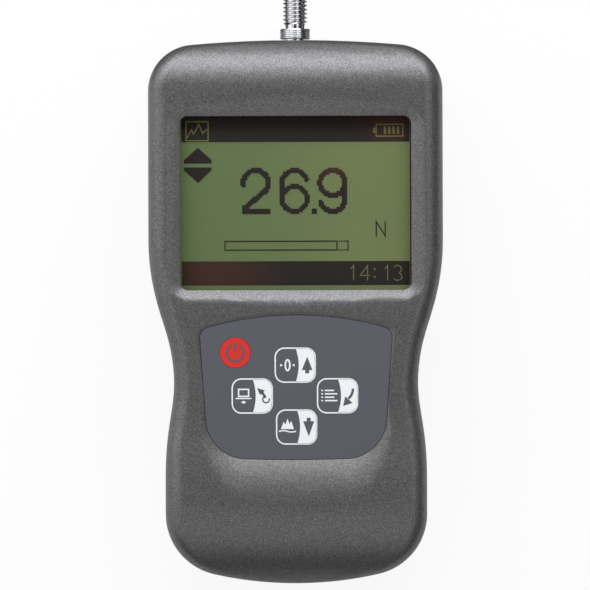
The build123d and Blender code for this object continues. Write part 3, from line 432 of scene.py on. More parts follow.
def start_material(name, reads):
    """A material, its tree and its shader, with the shader's plain values set."""
    material = bpy.data.materials.get(name) or bpy.data.materials.new(name)
    material.use_nodes = True
    tree = material.node_tree
    shader = tree.nodes["Principled BSDF"]
    for socket, value in reads.items():
        shader.inputs[socket].default_value = value
    return material, tree, shader


def place(tree, stretch=(1, 1, 1)):
    """The place on the object, in metres, stretched along the axes."""
    here = node(tree, "TexCoord").outputs["Object"]
    return node(tree, "Mapping", {"Vector": here, "Scale": stretch}).outputs["Vector"]


def grain(tree, size, detail=2.0, stretch=(1, 1, 1)):
    """Soft noise from 0 to 1 whose grains are about size metres wide."""
    reads = {"Vector": place(tree, stretch), "Scale": 1 / size, "Detail": detail}
    return node(tree, "TexNoise", reads).outputs["Fac"]


def between(tree, share, low, high):
    """A share from 0 to 1 spread from low to high."""
    reads = {"Value": share, "To Min": low, "To Max": high}
    return node(tree, "MapRange", reads).outputs["Result"]


def ramp(tree, value, start, end, low=0.0, high=1.0):
    """Low up to start, high from end on, and a smooth change between them."""
    reads = {"Value": value, "From Min": start, "From Max": end, "To Min": low, "To Max": high}
    return node(tree, "MapRange", reads, interpolation_type="SMOOTHSTEP").outputs["Result"]


def blend_colours(tree, share, one, other):
    """A colour between two, by share."""
    mix = node(tree, "Mix", data_type="RGBA")
    tree.links.new(share, mix.inputs["Factor"])
    for socket, value in ((mix.inputs[6], one), (mix.inputs[7], other)):
        if isinstance(value, NodeSocket):
            tree.links.new(value, socket)
        else:
            socket.default_value = (*value, 1)
    return mix.outputs[2]


def press(tree, shader, height, depth, strength=1.0):
    """Lets a height from 0 to 1 press its relief, depth metres deep, into the shader's surface."""
    reads = {"Height": height, "Distance": depth, "Strength": strength}
    wire(shader, Normal=node(tree, "Bump", reads).outputs["Normal"])


def brighter(colour, factor):
    """A colour made lighter or darker by a factor."""
    return tuple(min(1.0, part * factor) for part in colour)


def paint_material(paint):
    """Metallic paint: bright and dark flakes over a fine texture."""
    material, tree, shader = start_material("gauge_paint", {"Metallic": paint.metal})
    reads = {"Vector": place(tree), "Scale": 1 / paint.grain, "Randomness": 1.0}
    flakes = node(tree, "TexVoronoi", reads)
    flake = node(tree, "SeparateColor", {"Color": flakes.outputs["Color"]}).outputs["Red"]
    cloud = grain(tree, 1.7 * paint.grain, 3.0)
    share = calculate(tree, "MULTIPLY", flake, cloud)
    roughness = between(tree, cloud, paint.roughness - 0.05, paint.roughness + 0.05)
    wire(shader, Base_Color=blend_colours(tree, share, paint.shade, paint.flake), Roughness=roughness)
    press(tree, shader, grain(tree, 1.3 * paint.grain, 2.0), paint.texture)
    return material


def film_material(name, colour, roughness=0.5):
    """Matt printed film with a fine tooth."""
    material, tree, shader = start_material(name, {"Specular IOR Level": 0.4})
    tooth = grain(tree, 0.22 * mm)
    shade = blend_colours(tree, tooth, brighter(colour, 0.95), brighter(colour, 1.05))
    wire(shader, Base_Color=shade, Roughness=between(tree, tooth, roughness - 0.06, roughness + 0.06))
    press(tree, shader, tooth, 0.004 * mm)
    return material


def plastic_material(name, colour, roughness=0.5, size=0.5 * mm):
    """Moulded plastic or rubber: a spark-eroded grain and slow changes of shade."""
    material, tree, shader = start_material(name, {})
    fine, broad = grain(tree, size), grain(tree, 14 * size)
    shade = blend_colours(tree, broad, brighter(colour, 0.88), brighter(colour, 1.1))
    wire(shader, Base_Color=shade, Roughness=between(tree, fine, roughness - 0.08, roughness + 0.08))
    press(tree, shader, fine, 0.02 * mm)
    return material


def metal_material(name, colour, roughness=0.25, stretch=(1, 1, 1), size=0.3 * mm):
    """Bare metal with the fine marks of its making, drawn out along an axis by stretch."""
    material, tree, shader = start_material(name, {"Metallic": 1.0})
    marks, broad = grain(tree, size, 3.0, stretch), grain(tree, 20 * size)
    shade = blend_colours(tree, broad, brighter(colour, 0.9), brighter(colour, 1.06))
    wire(shader, Base_Color=shade, Roughness=between(tree, marks, roughness * 0.6, roughness * 1.5))
    press(tree, shader, marks, 0.003 * mm)
    return material


def board_material(name, colour):
    """A circuit board: solder mask over raised tracks, with its weave just showing."""
    material, tree, shader = start_material(name, {"Roughness": 0.35, "Coat Weight": 0.3})
    tracks_per_metre, track_share = 900.0, 0.08
    reads = {"Vector": place(tree), "Scale": tracks_per_metre}
    tracks = node(tree, "TexVoronoi", reads, distance="MANHATTAN", feature="DISTANCE_TO_EDGE")
    line = calculate(tree, "LESS_THAN", tracks.outputs["Distance"], track_share)
    wire(shader, Base_Color=blend_colours(tree, line, colour, brighter(colour, 1.9)))
    press(tree, shader, line, 0.03 * mm)
    return material


def clear_material(name):
    """A clear pane: smooth coated glass to look through, and nothing in the way of the lamps' light."""
    glass = {"Base Color": (0.97, 0.98, 0.97, 1), "Roughness": 0.0, "Transmission Weight": 1.0, "IOR": 1.1}
    material, tree, shader = start_material(name, glass)
    open_way = node(tree, "BsdfTransparent").outputs[0]
    surface(tree, ray_is(tree, "Shadow", "Diffuse"), shader.outputs[0], open_way)
    return material


def near(tree, spot, reach):
    """1 at a spot, fading to 0 at reach metres from it."""
    away = node(tree, "VectorMath", {0: place(tree), 1: spot}, operation="DISTANCE").outputs["Value"]
    return ramp(tree, away, 0.0, reach, 1.0, 0.0)


def ground_material(display):
    """The lit ground of the display: green on the left, olive on the right, with soft clouds."""
    material, tree, shader = start_material("display_ground", dull)
    low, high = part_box("lcd_glass")
    cloud = between(tree, grain(tree, 16 * mm, 2.0), -0.35, 0.35)
    x = node(tree, "SeparateXYZ", {"Vector": place(tree)}).outputs["X"]
    side = ramp(tree, x, low.x * 0.6, high.x * 0.9)
    share = calculate(tree, "ADD", side, cloud, use_clamp=True)
    colour = blend_colours(tree, share, display.ground, display.ground_far)
    wire(shader, Base_Color=colour, Emission_Color=colour)
    shader.inputs["Emission Strength"].default_value = display.glow
    return material


def ink_material(display):
    """Dark dots that turn brown at the lower left, at the last digit and at the upper right."""
    material, tree, shader = start_material("display_ink", dull)
    low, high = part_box("display_window")
    middle, top = (low + high) / 2, high.z
    spots = (
        ((low.x + 9 * mm, low.y + 2 * mm, top), 22 * mm),
        ((middle.x + 9 * mm, middle.y + 8 * mm, top), 7 * mm),
        ((high.x - 6 * mm, high.y - 1 * mm, top), 12 * mm),
    )
    warm = near(tree, *spots[0])
    for spot, reach in spots[1:]:
        warm = calculate(tree, "MAXIMUM", warm, near(tree, spot, reach))
    wire(shader, Base_Color=blend_colours(tree, warm, display.ink, display.ink_warm))
    return material


def material_for(slot, scene):
    """The finish of one of the record's material slots."""
    keypad = scene.gauge_keypad
    finishes = {
        "housing": (paint_material, scene.gauge_paint),
        "overlay": (film_material, "film", keypad.film),
        "power_film": (film_material, "power_red", keypad.red),
        "clear": (clear_material, "clear_pane"),
        "adhesive": (plastic_material, "foam_tape", (0.02, 0.02, 0.02), 0.9, 0.2 * mm),
        "steel": (metal_material, "turned_steel", (0.66, 0.66, 0.67), 0.16, (0.15, 6, 0.15)),
        "screw_steel": (metal_material, "screw_steel", (0.42, 0.42, 0.43), 0.35),
        "insert_brass": (metal_material, "insert_brass", (0.72, 0.52, 0.22), 0.3),
        "seal_rubber": (plastic_material, "seal_rubber", (0.02, 0.02, 0.02), 0.75),
        "cell_alloy": (metal_material, "cell_alloy", (0.6, 0.61, 0.63), 0.35, (4, 0.3, 1)),
        "bracket_alloy": (metal_material, "bracket_alloy", (0.52, 0.53, 0.55), 0.4, (0.3, 4, 1)),
        "foil": (film_material, "gauge_foil", (0.62, 0.42, 0.14), 0.3),
        "board": (board_material, "board_green", (0.02, 0.14, 0.06)),
        "chip": (plastic_material, "chip_black", (0.02, 0.02, 0.022), 0.45, 0.15 * mm),
        "connector": (plastic_material, "natural_nylon", (0.78, 0.76, 0.7), 0.5),
        "buzzer_black": (plastic_material, "buzzer_black", (0.03, 0.03, 0.03), 0.4),
        "lcd": (ground_material, scene.gauge_display),
        "backlight": (plastic_material, "light_guide", (0.8, 0.82, 0.74), 0.3),
        "bezel_steel": (metal_material, "bezel_steel", (0.3, 0.3, 0.31), 0.4),
        "nickel": (metal_material, "nickel", (0.55, 0.54, 0.5), 0.3, (4, 0.3, 1)),
        "battery_sleeve": (plastic_material, "battery_sleeve", (0.06, 0.16, 0.1), 0.25, 2 * mm),
        "tray_plastic": (plastic_material, "tray_plastic", (0.04, 0.04, 0.045), 0.5),
        "lead_sheath": (plastic_material, "lead_sheath", (0.05, 0.05, 0.05), 0.6),
        "circuit_film": (film_material, "circuit_film", (0.55, 0.5, 0.38), 0.35),
        "dome_steel": (metal_material, "dome_steel", (0.6, 0.6, 0.58), 0.2),
        "socket_steel": (metal_material, "socket_steel", (0.58, 0.58, 0.58), 0.25, (1, 0.3, 4)),
    }
    maker, *values = finishes[slot]
    return maker(*values)


# Operators, one for each piece or group


class GAUGE_OT_stage(Operator):
    """Makes the floor, the soft light all round, the two lamps and the camera over the gauge"""

    bl_idname = "gauge.stage"
    bl_label = "Studio"

    def execute(self, context):
        studio = context.scene.gauge_studio
        self.floor()
        self.world(context, studio)
        self.lamp(context, "top_lamp", (0.02, 0.5, 0.37), (0.75, 0.28), studio.top_lamp)
        self.lamp(context, "left_lamp", (-0.42, 0.3, 0.27), (0.5, 0.3), studio.left_lamp)
        upright = math.radians(90)
        self.card("right_card", (0.3, 0, 0.15), (0, upright, 0), (0.3, 0.9))
        self.card("near_card", (0, -0.45, 0.12), (upright, 0, 0), (0.9, 0.24))
        self.card("ceiling_card", (0, 0, 0.9), (0, 0, 0), (0.5, 0.5), through_pane=True)
        self.card("stud_card", (0, 0.21, 0), (0, 0, 0), (0.3, 0.28))
        self.camera(context, studio)
        context.scene.view_settings.view_transform = "Standard"
        return {"FINISHED"}

    def floor(self):
        """A pale floor, near white to the camera, with the object's soft shadow on it.

        It is open under the flat of the back, clear from below, and lets light up to the case close
        over it, so that the back can be seen."""
        side, corner, gap, lit_reach, white_share = 4.0, 14 * mm, 0.02 * mm, 10 * mm, 0.9
        opening = rounded_box(50 * mm, 122 * mm, corner)
        edge = rounded_box(side, side, corner)
        points = np.column_stack([np.concatenate([opening, edge]), np.full(2 * len(edge), -gap)])
        floor = new_piece("studio_floor", points, weave(2, len(edge), wrap=True)[:, ::-1], smooth=False)
        pale = {"Base Color": (0.9, 0.9, 0.9, 1), "Roughness": 0.9}
        material, tree, shader = start_material("studio_floor", pale)
        share = calculate(tree, "MULTIPLY", ray_is(tree, "Camera", "Transmission"), white_share)
        white = node(tree, "Emission").outputs[0]
        mix = node(tree, "MixShader", {0: share, 1: shader.outputs[0], 2: white}).outputs[0]
        below = node(tree, "NewGeometry").outputs["Backfacing"]
        length = node(tree, "LightPath").outputs["Ray Length"]
        close = calculate(tree, "LESS_THAN", length, lit_reach)
        from_under = calculate(tree, "MULTIPLY", ray_is(tree, "Diffuse", "Glossy"), close)
        clear = node(tree, "BsdfTransparent").outputs[0]
        surface(tree, calculate(tree, "MAXIMUM", below, from_under), mix, clear)
        floor.data.materials.append(material)

    def card(self, name, place_at, turn, size, through_pane=False):
        """A dark card that only reflections see, for the shaded side of gloss and chrome."""
        wide, high = size
        corners = np.array([(-1, -1, 0), (1, -1, 0), (1, 1, 0), (-1, 1, 0)]) * (wide / 2, high / 2, 0)
        card = new_piece(name, corners, [(0, 1, 2, 3)], smooth=False)
        card.location = place_at
        card.rotation_euler = turn
        dark = {"Base Color": (0.01, 0.01, 0.01, 1), "Roughness": 1.0}
        card.data.materials.append(start_material("dark_card", dark)[0])
        card.visible_camera = False
        card.visible_diffuse = False
        card.visible_transmission = through_pane
        card.visible_shadow = False

    def world(self, context, studio):
        """White where it is seen or mirrored, softer where it lights."""
        world = bpy.data.worlds.new("studio")
        world.use_nodes = True
        tree = world.node_tree
        soft = tree.nodes["Background"]
        soft.inputs["Color"].default_value = (1, 1, 1, 1)
        soft.inputs["Strength"].default_value = studio.world
        white = node(tree, "Background", {"Color": (1, 1, 1, 1), "Strength": 1.0}).outputs[0]
        seen = ray_is(tree, "Camera", "Glossy", "Transmission")
        surface(tree, seen, soft.outputs[0], white, end="World Output")
        context.scene.world = world

    def lamp(self, context, name, place_at, size, watts):
        """A soft box aimed at the middle of the gauge."""
        data = bpy.data.lights.new(name, "AREA")
        data.shape = "RECTANGLE"
        data.size, data.size_y = size
        data.energy = watts
        data.color = context.scene.gauge_studio.tint
        lamp = add_object(name, data)
        middle = (cad_box[0] + cad_box[1]) / 2
        lamp.location = place_at
        lamp.rotation_euler = (middle - lamp.location).to_track_quat("-Z", "Y").to_euler()

    def camera(self, context, studio):
        """A long lens straight over the gauge, as far off as makes the frame its real width."""
        data = bpy.data.cameras.new("camera")
        data.sensor_width = 36.0
        data.lens = data.sensor_width * studio.distance / studio.frame_width
        data.clip_start, data.clip_end = 0.05, 20.0
        camera = add_object("camera", data)
        camera.location = (*studio.middle, studio.frame_height_over_floor + studio.distance)
        camera.rotation_euler = (0, 0, studio.roll)
        context.scene.camera = camera


class GAUGE_OT_inside(Operator):
    """Gives every carried-over piece of the solid model its finish; the keys are the overlay's film"""

    bl_idname = "gauge.inside"
    bl_label = "Inner pieces"

    def execute(self, context):
        made = {}
        for name, piece in frame["nodes"].items():
            slot = slot_of[name]
            finish = "overlay" if slot == "key_film" else slot
            if finish not in made:
                made[finish] = material_for(finish, context.scene)
            piece.data.materials.clear()
            piece.data.materials.append(made[finish])
        return {"FINISHED"}


class GAUGE_OT_case(Operator):
    """Joins and smooths the triangles of the case's halves, its screws, seal and socket"""

    bl_idname = "gauge.case"
    bl_label = "Case"

    def execute(self, context):
        paint = context.scene.gauge_paint
        for source in ("front_housing", "rear_housing", "shaft_seal", "housing_screws", "socket_shell"):
            mesh = frame["nodes"][source].data.copy()
            mesh.name = source + "_skin"
            join_points(mesh, same_point)
            mesh.shade_smooth()
            mesh.set_sharp_from_angle(angle=paint.sharp_angle)
            if source in ("front_housing", "rear_housing"):
                even_shading(mesh, paint.sharp_angle, neighbour_share=0.3)
            stand_for(add_object(source + "_skin", mesh), source)
        return {"FINISHED"}


class GAUGE_OT_display(Operator):
    """Draws the display on its glass: two bars, icons, arrows, the reading, its unit, the clock, and a dark edge
    that is partly painted shadow
    """

    bl_idname = "gauge.display"
    bl_label = "Display"

    def execute(self, context):
        display = context.scene.gauge_display
        low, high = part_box("display_window")
        self.pitch = display.pitch
        self.left = (low.x + high.x - display.columns * display.pitch) / 2
        self.top = high.y - display.lap - display.drop
        self.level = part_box("lcd_glass")[1].z + display.ink_lift
        line = display.line / display.pitch
        ink = ink_material(display)
        bars = [self.bar(display, top) for top in (0, display.rows - display.bar_rows)]
        unit = ribbon([(109.3, 66.7), (109.3, 58.4), (114.3, 66.4), (114.3, 58.1)], line)
        # The dark edge above and right of the dots is partly painted shadow of the case's edge, laid in the ink's
        # colour.
        flat = [*bars, self.edge_and_painted_shadow(display), *self.arrows(), *self.load_bar(line), unit]
        self.lay("display_marks_and_painted_shadow", flat, 0, ink, display)
        self.dots("display_reading", self.reading(display), ink, display)
        thin = self.icons(line) + self.clock(line)
        self.lay("display_icons", thin, 1, self.faint_material(display), display)
        return {"FINISHED"}

    def faint_material(self, display):
        """The dim light that comes through the thin lines in the dark bars."""
        faint, tree, shader = start_material("display_faint", {**dull, "Specular IOR Level": 0.1})
        shade = grain(tree, 6 * mm)
        colour = blend_colours(tree, shade, brighter(display.faint, 0.8), brighter(display.faint, 1.15))
        wire(shader, Base_Color=colour)
        return faint

    def bar(self, display, top):
        """A dark bar across the display."""
        return patch(rectangle(0, top, display.columns, top + display.bar_rows))

    def edge_and_painted_shadow(self, display):
        """A dark band above the display and down its right side, out under the case: partly the glass's own dark
        border, partly painted shadow of the case's edge over the sunken glass.
        """
        out = display.lap / self.pitch
        right, bottom = display.columns, display.rows + out
        outer = [(-out, -out - 1), (right + out, -out - 1), (right + out, bottom)]
        return patch(outer + [(right + 0.3, bottom), (right + 0.3, 0), (-out, 0)])

    def icons(self, line):
        """The trace icon at the left end of the top bar, and the battery at the right end."""
        box = ribbon(rectangle(2.6, 2.0, 15.0, 12.7), line, closed=True)
        trace = [(3.2, 11.2), (5.7, 6.6), (6.8, 9), (8.2, 6.8), (9.7, 3.4), (11.9, 8.6), (14.4, 6.2)]
        battery = ribbon(rectangle(109.4, 3.8, 124.4, 10.4), line, closed=True)
        nub = patch(rectangle(107.6, 5.6, 109.2, 8.6))
        bars = [ribbon([(114.3 + 2.45 * bar, 5.0), (114.3 + 2.45 * bar, 9.2)], 1.3) for bar in range(4)]
        return [box, ribbon(trace, line), battery, nub, *bars]

    def clock(self, line):
        """The time in thin figures: each is a few strokes on a box 5.4 wide and 8.4 high."""
        one = [(0, 2.0), (1.6, 0), (1.6, 8.4)]
        four = [(4.0, 8.4), (4.0, 0), (0, 5.6), (5.4, 5.6)]
        upper = self.from_top(bow((2.2, 0), (2.2, 2.1), 150, -90, 14), 2.1)
        lower = self.from_top(bow((2.2, 0), (2.4, 2.1), 90, -150, 14), 6.3)
        three = np.concatenate([upper, lower])
        places = ((94.9, one), (100.3, four), (114.0, one), (119.0, three))
        shapes = [ribbon(np.asarray(figure, float) + (left, 83), 0.85 * line) for left, figure in places]
        return shapes + [ribbon([(108.3, row), (108.3, row + 1.0)], 1.0) for row in (84.6, 89.0)]

    def arrows(self):
        """Two filled arrow heads, one up and one down, with short upright sides."""
        up = [(9.25, 16.6), (16.9, 23.6), (16.9, 25.5), (1.35, 25.5), (1.35, 23.6)]
        down = [(9.25, 36.5), (16.9, 29.3), (16.9, 27.7), (1.35, 27.7), (1.35, 29.3)]
        return [patch(up), patch(down)]

    def load_bar(self, line):
        """The load bar: an outline, and a dotted one past its end."""
        left, top, right, bottom = 24.3, 69.3, 87.2, 74.2
        bar = ribbon(rectangle(left, top, right, bottom), line, closed=True)
        gap, half_dot = 1.35, 0.4
        spots = [(right + gap * step, row) for step in range(1, 5) for row in (top, bottom)]
        spots += [(right + gap * 4.6, top + step * (bottom - top) / 4) for step in range(5)]
        return [bar] + [ribbon([(x - half_dot, y), (x + half_dot, y)], 2 * half_dot) for x, y in spots]

    def from_top(self, points, level):
        """Points about height 0 put at a row, with their height turned over, because rows run down."""
        return np.stack([points[:, 0], level - points[:, 1]], -1)

    def near_path(self, display, path, reach):
        """The dots whose middles lie within reach of a path: for each, the nearest point of each run."""
        row, column = np.meshgrid(np.arange(display.rows), np.arange(display.columns), indexing="ij")
        start, run = path[:-1], np.diff(path, axis=0)
        spot = np.stack([column + 0.5, row + 0.5], -1)[:, :, None, :] - start
        no_length = 1e-9
        share = np.clip((spot * run).sum(-1) / np.maximum((run**2).sum(-1), no_length), 0, 1)
        return np.linalg.norm(spot - share[..., None] * run, axis=-1).min(-1) <= reach

    def reading(self, display):
        """The reading, 26.9, in dots: round strokes for the figures and a square for the point."""
        stroke, top, wide, high = 1.5, 28, 17.2, 26
        radii = (7.0, 7.0)
        crest = self.from_top(bow((8.5, 0), radii, 186, -40), 8.5)
        two = np.concatenate([crest, [(2.0, 22.8), (2.0, 24.5), (15.6, 24.5)]])
        hook = self.from_top(bow((8.6, 0), radii, 18, 180), 8.5)
        bowl = self.from_top(bow((8.6, 0), radii, 180, 540, 48), 17.5)
        six = np.concatenate([hook, bowl])
        nine = (wide, high) - six
        lit = np.zeros((display.rows, display.columns), bool)
        for left, figure in ((33.2, two), (54.8, six), (76.2, nine)):
            lit |= self.near_path(display, figure + (left, top), stroke)
        lit[top + high - 3 : top + high, 73:76] = True
        return lit

    def dots(self, name, lit, material, display):
        """A square over each lit dot, sharing corners, at its column and row times the pitch."""
        row, column = np.nonzero(lit)
        corners = np.stack([(row + 1, column), (row + 1, column + 1), (row, column + 1), (row, column)])
        number = (corners[:, 0] * (display.columns + 1) + corners[:, 1]).T
        used, faces = np.unique(number, return_inverse=True)
        spots = np.stack([used % (display.columns + 1), used // (display.columns + 1)], -1)
        self.put(name, spots, faces.reshape(-1, 4), 0, material, display)

    def lay(self, name, shapes, layer, material, display):
        """Flat shapes, given in dots, on one layer of the display. Rows run down, so each face turns."""
        points, faces = join_shapes(shapes)
        self.put(name, points, [face[::-1] for face in faces], layer, material, display)

    def put(self, name, spots, faces, layer, material, display):
        """Points in dots as points on the glass, and the piece they make."""
        x = self.left + self.pitch * spots[:, 0]
        y = self.top - self.pitch * spots[:, 1]
        z = np.full(len(spots), self.level + layer * display.ink_thick)
        points = np.stack([x, y, z], -1)
        lay_print(name, points, faces, display.ink_thick, "lcd_glass", material)


class GAUGE_OT_keypad(Operator):
    """Prints the keys: a white outline, a white right side, and each key's two signs, in millimetres"""

    bl_idname = "gauge.keypad"
    bl_label = "Keypad"

    def execute(self, context):
        keypad = context.scene.gauge_keypad
        white = film_material("print_white", keypad.white, 0.45)
        grey = film_material("print_grey", keypad.film)
        for name in ("power", "zero", "transmit", "menu", "peak"):
            light, dark = getattr(self, name + "_signs")()
            if name != "power":
                light = light + self.key_field(name, keypad)
            if light:
                self.print_on(name, "white", light, keypad.print_lift, white, keypad)
            self.print_on(name, "grey", dark, keypad.print_lift + keypad.print_thick, grey, keypad)
        return {"FINISHED"}

    def key_field(self, name, keypad):
        """A key's outline and its white side: from the bulging divider to the outline, row by row."""
        low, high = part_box("key_" + name)
        line = keypad.line / mm
        wide, tall = (high.x - low.x) / mm - line, (high.y - low.y) / mm - line
        corner = keypad.corner / mm - line / 2
        outline = ribbon(rounded_box(wide, tall, corner), line, closed=True)
        up = tall / 2 * np.sin(np.linspace(-np.pi / 2, np.pi / 2, 40))
        into_corner = np.clip(np.abs(up) - (tall / 2 - corner), 0, corner)
        right = wide / 2 - corner + np.sqrt(corner**2 - into_corner**2)
        from_middle = 0.1
        divider = from_middle + keypad.bulge / mm * (1 - (2 * up / tall) ** 2)
        share = np.linspace(0, 1, 3)[None, :]
        x = divider[:, None] * (1 - share) + right[:, None] * share
        side = np.stack([x, np.repeat(up[:, None], 3, 1)], -1).reshape(-1, 2)
        return [outline, (side, weave(len(up), 3))]

    def arrow(self, tip, half_width, head, stem, stem_length):
        """A block arrow pointing up or down from its tip: head and stem lengths are signed."""
        x, y = tip
        neck, foot = y - head, y - head - stem_length
        left = [(x - half_width, neck), (x - stem, neck), (x - stem, foot)]
        return patch([tip, *left, (x + stem, foot), (x + stem, neck), (x + half_width, neck)])

    def power_signs(self):
        """A broken ring with a bar through its gap."""
        return [], [ribbon(bow((0, 0), (2.05, 2.05), 118, 422, 48), 0.5), ribbon([(0, 2.5), (0, 0.4)], 0.5)]

    def zero_signs(self):
        """A nought between two small pointers, and an arrow up."""
        nought = ribbon(bow((-1.86, 0), (0.55, 1.3), 0, 345, 30), 0.4, closed=True)
        left = patch([(-3.66, 0.36), (-3.66, -0.36), (-3.04, 0)])
        right = patch([(-0.16, 0.36), (-0.16, -0.36), (-0.78, 0)])
        return [nought, left, right], [self.arrow((2.91, 2.06), 1.3, 3.26, 0.48, 0.8)]

    def transmit_signs(self):
        """A screen on its base with a mark below, and an arrow that leaves a hook."""
        screen = ribbon([(-3.33, 1.63), (-3.33, -0.08), (-0.88, -0.08), (-0.88, 1.63)], 0.35, closed=True)
        base = ribbon([(-4.06, -0.6), (-0.2, -0.6)], 0.3)
        mark = patch([(-2.75, -1.5), (-2.1, -1.9), (-1.45, -1.5), (-2.1, -1.15)])
        head = patch([(1.15, 1.96), (1.9, 0.25), (3.11, 1.35)])
        tail = ribbon([(2.3, 0.95), (2.95, 0.1), (3.2, -0.45)], 0.62)
        hook = ribbon(bow((3.36, -0.85), (0.8, 0.8), 100, 380, 30), 0.34)
        return [screen, base, mark], [head, tail, hook]

    def menu_signs(self):
        """A list of four lines, and an arrow that bends down to the left."""
        lines = []
        for y, end in ((1.3, -0.85), (0.48, -0.05), (-0.35, -0.75), (-1.17, -0.05)):
            lines += [ribbon([(-3.95, y), (-3.55, y)], 0.34), ribbon([(-3.1, y), (end, y)], 0.34)]
        stem = ribbon(bow((1.3, 1.75), (2.45, 2.9), 0, -58, 16), 0.62)
        return lines, [stem, patch([(1.35, -2.5), (3.65, -1.75), (1.85, -0.2)])]

    def peak_signs(self):
        """Peaks over a wave, and an arrow down."""
        ridge = [(-3.85, -0.5), (-3.15, 1.25), (-2.75, 0.6), (-2.2, 2.05), (-1.75, 0.75), (-1.28, 1.45)]
        x = np.linspace(-4.35, -0.15, 24)
        wave = np.stack([x, -1.05 + 0.16 * np.sin(1.5 * (x + 4.35))], -1)
        signs = [patch([*ridge, (-0.65, -0.5)]), ribbon(wave, 0.3)]
        return signs, [self.arrow((2.95, -2.25), 1.35, -3.65, 0.48, -0.85)]

    def print_on(self, name, ink, shapes, lift, material, keypad):
        """Lays flat shapes on a key, in the key's own slope, and gives them the thickness of print."""
        low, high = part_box("key_" + name)
        inward = next(joint["axis"] for joint in frame["joints"] if joint["name"] == name + "_press")
        out = -np.array(inward)
        flat, faces = join_shapes(shapes)
        x = flat[:, 0] * mm + (low.x + high.x) / 2
        y = flat[:, 1] * mm + (low.y + high.y) / 2
        top = high.z - (high.y - y) * -out[1] / out[2]
        points = np.stack([x, y, top], -1) + out * lift
        lay_print(f"{name}_print_{ink}", points, faces, keypad.print_thick, "key_" + name, material)


class GAUGE_OT_stud(Operator):
    """Cuts the stud's helical thread and rolls the fine rings of its collar"""

    bl_idname = "gauge.stud"
    bl_label = "Stud"

    def execute(self, context):
        stud = context.scene.gauge_stud
        low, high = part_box("force_stud")
        axis_height = (low.z + high.z) / 2
        self.thread(stud, low.y, high.y, axis_height)
        self.collar(stud, axis_height)
        return {"FINISHED"}

    def thread(self, stud, start, end, axis_height):
        """One surface of revolution: the radius is the crest less the thread's depth where it winds,
        the shaft and the undercut between, and never over the chamfers of the ends."""
        turns, rows_per_pitch = 72, 20
        collar_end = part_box("stud_collar")[1].y
        nut_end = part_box("stud_nut")[1].y
        neck_end = collar_end + stud.undercut_length
        along = np.arange(start, end, stud.pitch / rows_per_pitch)
        along = np.unique(np.concatenate([along, [nut_end, collar_end, neck_end, end]]))
        wound = stud.crest - stud.depth * (1 - thread_height(along, turns, stud.pitch))
        plain = np.where(along > collar_end, stud.undercut, stud.shaft)
        threaded = (along <= nut_end) | (along >= neck_end)
        radius = np.where(threaded[:, None], wound, plain[:, None])
        core = stud.crest - stud.depth
        from_end = np.minimum(end - along, np.where(along >= neck_end, along - neck_end, stud.depth))
        chamfer = core + np.clip(from_end, 0, stud.depth)
        radius = np.minimum(radius, np.maximum(chamfer, np.where(threaded, core, plain))[:, None])
        points, faces = turned(radius, along, turns)
        first = np.arange(turns)
        beside = np.roll(first, -1)
        to_last, middle = (len(along) - 1) * turns, np.full(turns, len(points))
        near_cap = np.column_stack([middle, beside, first])
        far_cap = np.column_stack([to_last + first, to_last + beside, middle + 1])
        points = along_stud(np.vstack([points, (0, 0, start), (0, 0, end)]), axis_height)
        lay_solid("force_stud_thread", points, [*faces, *near_cap, *far_cap], 40, "force_stud")

    def collar(self, stud, axis_height):
        """A ring whose outside dips between its fine rings, by a raised cosine of the length along it."""
        low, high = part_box("stud_collar")
        outer = (high.x - low.x) / 2
        length = high.y - low.y
        edge = 0.12 * mm
        share = np.linspace(0, 1, 16 * stud.collar_rings + 1)
        dip = (0.5 + 0.5 * np.cos(2 * np.pi * stud.collar_rings * share)) ** 3
        outside = outer - stud.collar_depth * dip
        shoulder = outer - 2 * edge
        radius = np.concatenate([[stud.shaft, shoulder], outside, [shoulder, stud.shaft, stud.shaft]])
        height = np.concatenate([[0, 0], edge + (length - 2 * edge) * share, [length, length, 0]]) + low.y
        points, faces = turned(radius, height, 96)
        lay_solid("stud_collar_rings", along_stud(points, axis_height), faces, 50, "stud_collar")


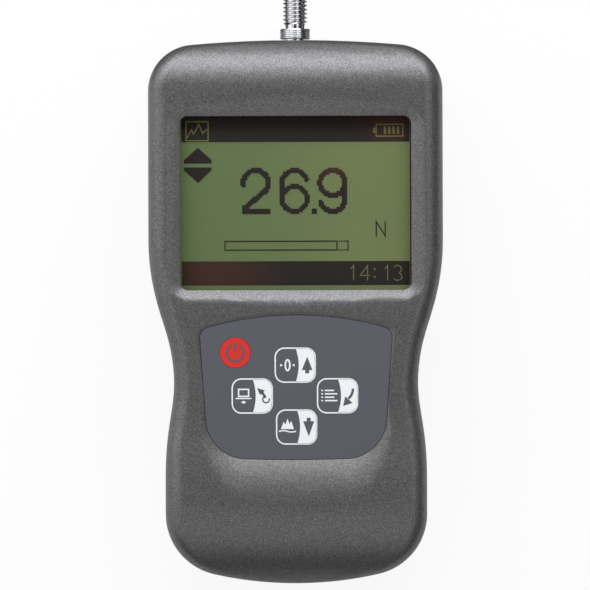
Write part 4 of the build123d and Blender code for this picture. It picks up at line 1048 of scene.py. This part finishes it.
class GAUGE_OT_fittings(Operator):
    """Cuts the threads of the stand inserts and lays the contact strips of the data socket"""

    bl_idname = "gauge.fittings"
    bl_label = "Fittings"

    def execute(self, context):
        fittings = context.scene.gauge_fittings
        self.inserts(fittings)
        self.contacts(fittings)
        return {"FINISHED"}

    def inserts(self, fittings):
        """Four closed surfaces of revolution: up the knurled outside, in over the top, and down the
        bore, where the radius is the bore's plus the thread's depth where it winds."""
        low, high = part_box("mounting_inserts")
        tall, turns, rows_per_pitch = high.z - low.z, 64, 14
        down = np.arange(tall, fittings.lead_in, -fittings.insert_pitch / rows_per_pitch)
        cut = fittings.insert_depth * (1 - thread_height(down, turns, fittings.insert_pitch))
        knurl = fittings.insert_radius - fittings.knurl * (1 - np.arange(turns) % 2)
        rim_end, knurl_start = 1.2 * mm, 1.5 * mm
        plain = np.full(turns, fittings.insert_radius)
        mouth = np.full(turns, fittings.insert_bore + fittings.lead_in)
        rows = [plain, plain, knurl, knurl, *(fittings.insert_bore + cut), mouth, plain]
        height = np.array([0, rim_end, knurl_start, tall, *down, 0, 0]) + low.z
        shape, faces = turned(np.array(rows), height, turns)
        points, quads = [], []
        for x in (low.x + fittings.insert_radius, high.x - fittings.insert_radius):
            for y in (low.y + fittings.insert_radius, high.y - fittings.insert_radius):
                quads.append(faces + len(shape) * len(points))
                points.append(shape + (x, y, 0))
        points, quads = np.concatenate(points), np.concatenate(quads)
        lay_solid("stand_insert_threads", points, quads, 35, "mounting_inserts")

    def contacts(self, fittings):
        """Rows of gold strips on both faces of the socket's tongue, evenly spaced across it."""
        low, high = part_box("socket_tongue")
        gold = metal_material("contact_gold", (0.85, 0.62, 0.25), 0.25)
        spread = (high.x - low.x) / 2 - fittings.contact_width
        start = low.y + fittings.contact_inset
        end = start + fittings.contact_length
        places = np.linspace(-spread, spread, fittings.contacts)
        flat, faces = join_shapes([ribbon([(x, start), (x, end)], fittings.contact_width) for x in places])
        for side, z in (("upper", high.z), ("lower", low.z)):
            turned_faces = faces if side == "upper" else [face[::-1] for face in faces]
            points = np.column_stack([flat, np.full(len(flat), z)])
            thick = fittings.contact_thick
            lay_print(side + "_contacts", points, turned_faces, thick, "socket_tongue", gold)


class GAUGE_PT_panel(Panel):
    """Lists the gauge's pieces"""

    bl_idname = "GAUGE_PT_panel"
    bl_label = "Force gauge"
    bl_space_type = "VIEW_3D"
    bl_region_type = "UI"
    bl_category = "Gauge"

    def draw(self, context):
        for operator in operators:
            self.layout.operator(operator.bl_idname)


operators = (
    GAUGE_OT_stage,
    GAUGE_OT_inside,
    GAUGE_OT_case,
    GAUGE_OT_display,
    GAUGE_OT_keypad,
    GAUGE_OT_stud,
    GAUGE_OT_fittings,
)
settings = {
    "gauge_paint": CasePaint,
    "gauge_display": DisplayLook,
    "gauge_keypad": KeypadPrint,
    "gauge_stud": StudShape,
    "gauge_fittings": FittingSizes,
    "gauge_studio": StudioSetup,
}


def register():
    """Registers the settings, the operators and the panel."""
    for name, group in settings.items():
        bpy.utils.register_class(group)
        setattr(bpy.types.Scene, name, PointerProperty(type=group))
    for item in (*operators, GAUGE_PT_panel):
        bpy.utils.register_class(item)


def unregister():
    """Takes them out again, in the opposite order."""
    for item in reversed((*operators, GAUGE_PT_panel)):
        bpy.utils.unregister_class(item)
    for name, group in settings.items():
        delattr(bpy.types.Scene, name)
        bpy.utils.unregister_class(group)


def main():
    """Makes every piece in order."""
    register()
    for operator in operators:
        getattr(bpy.ops.gauge, operator.bl_idname.split(".")[1])()


if __name__ == "__main__":
    main()
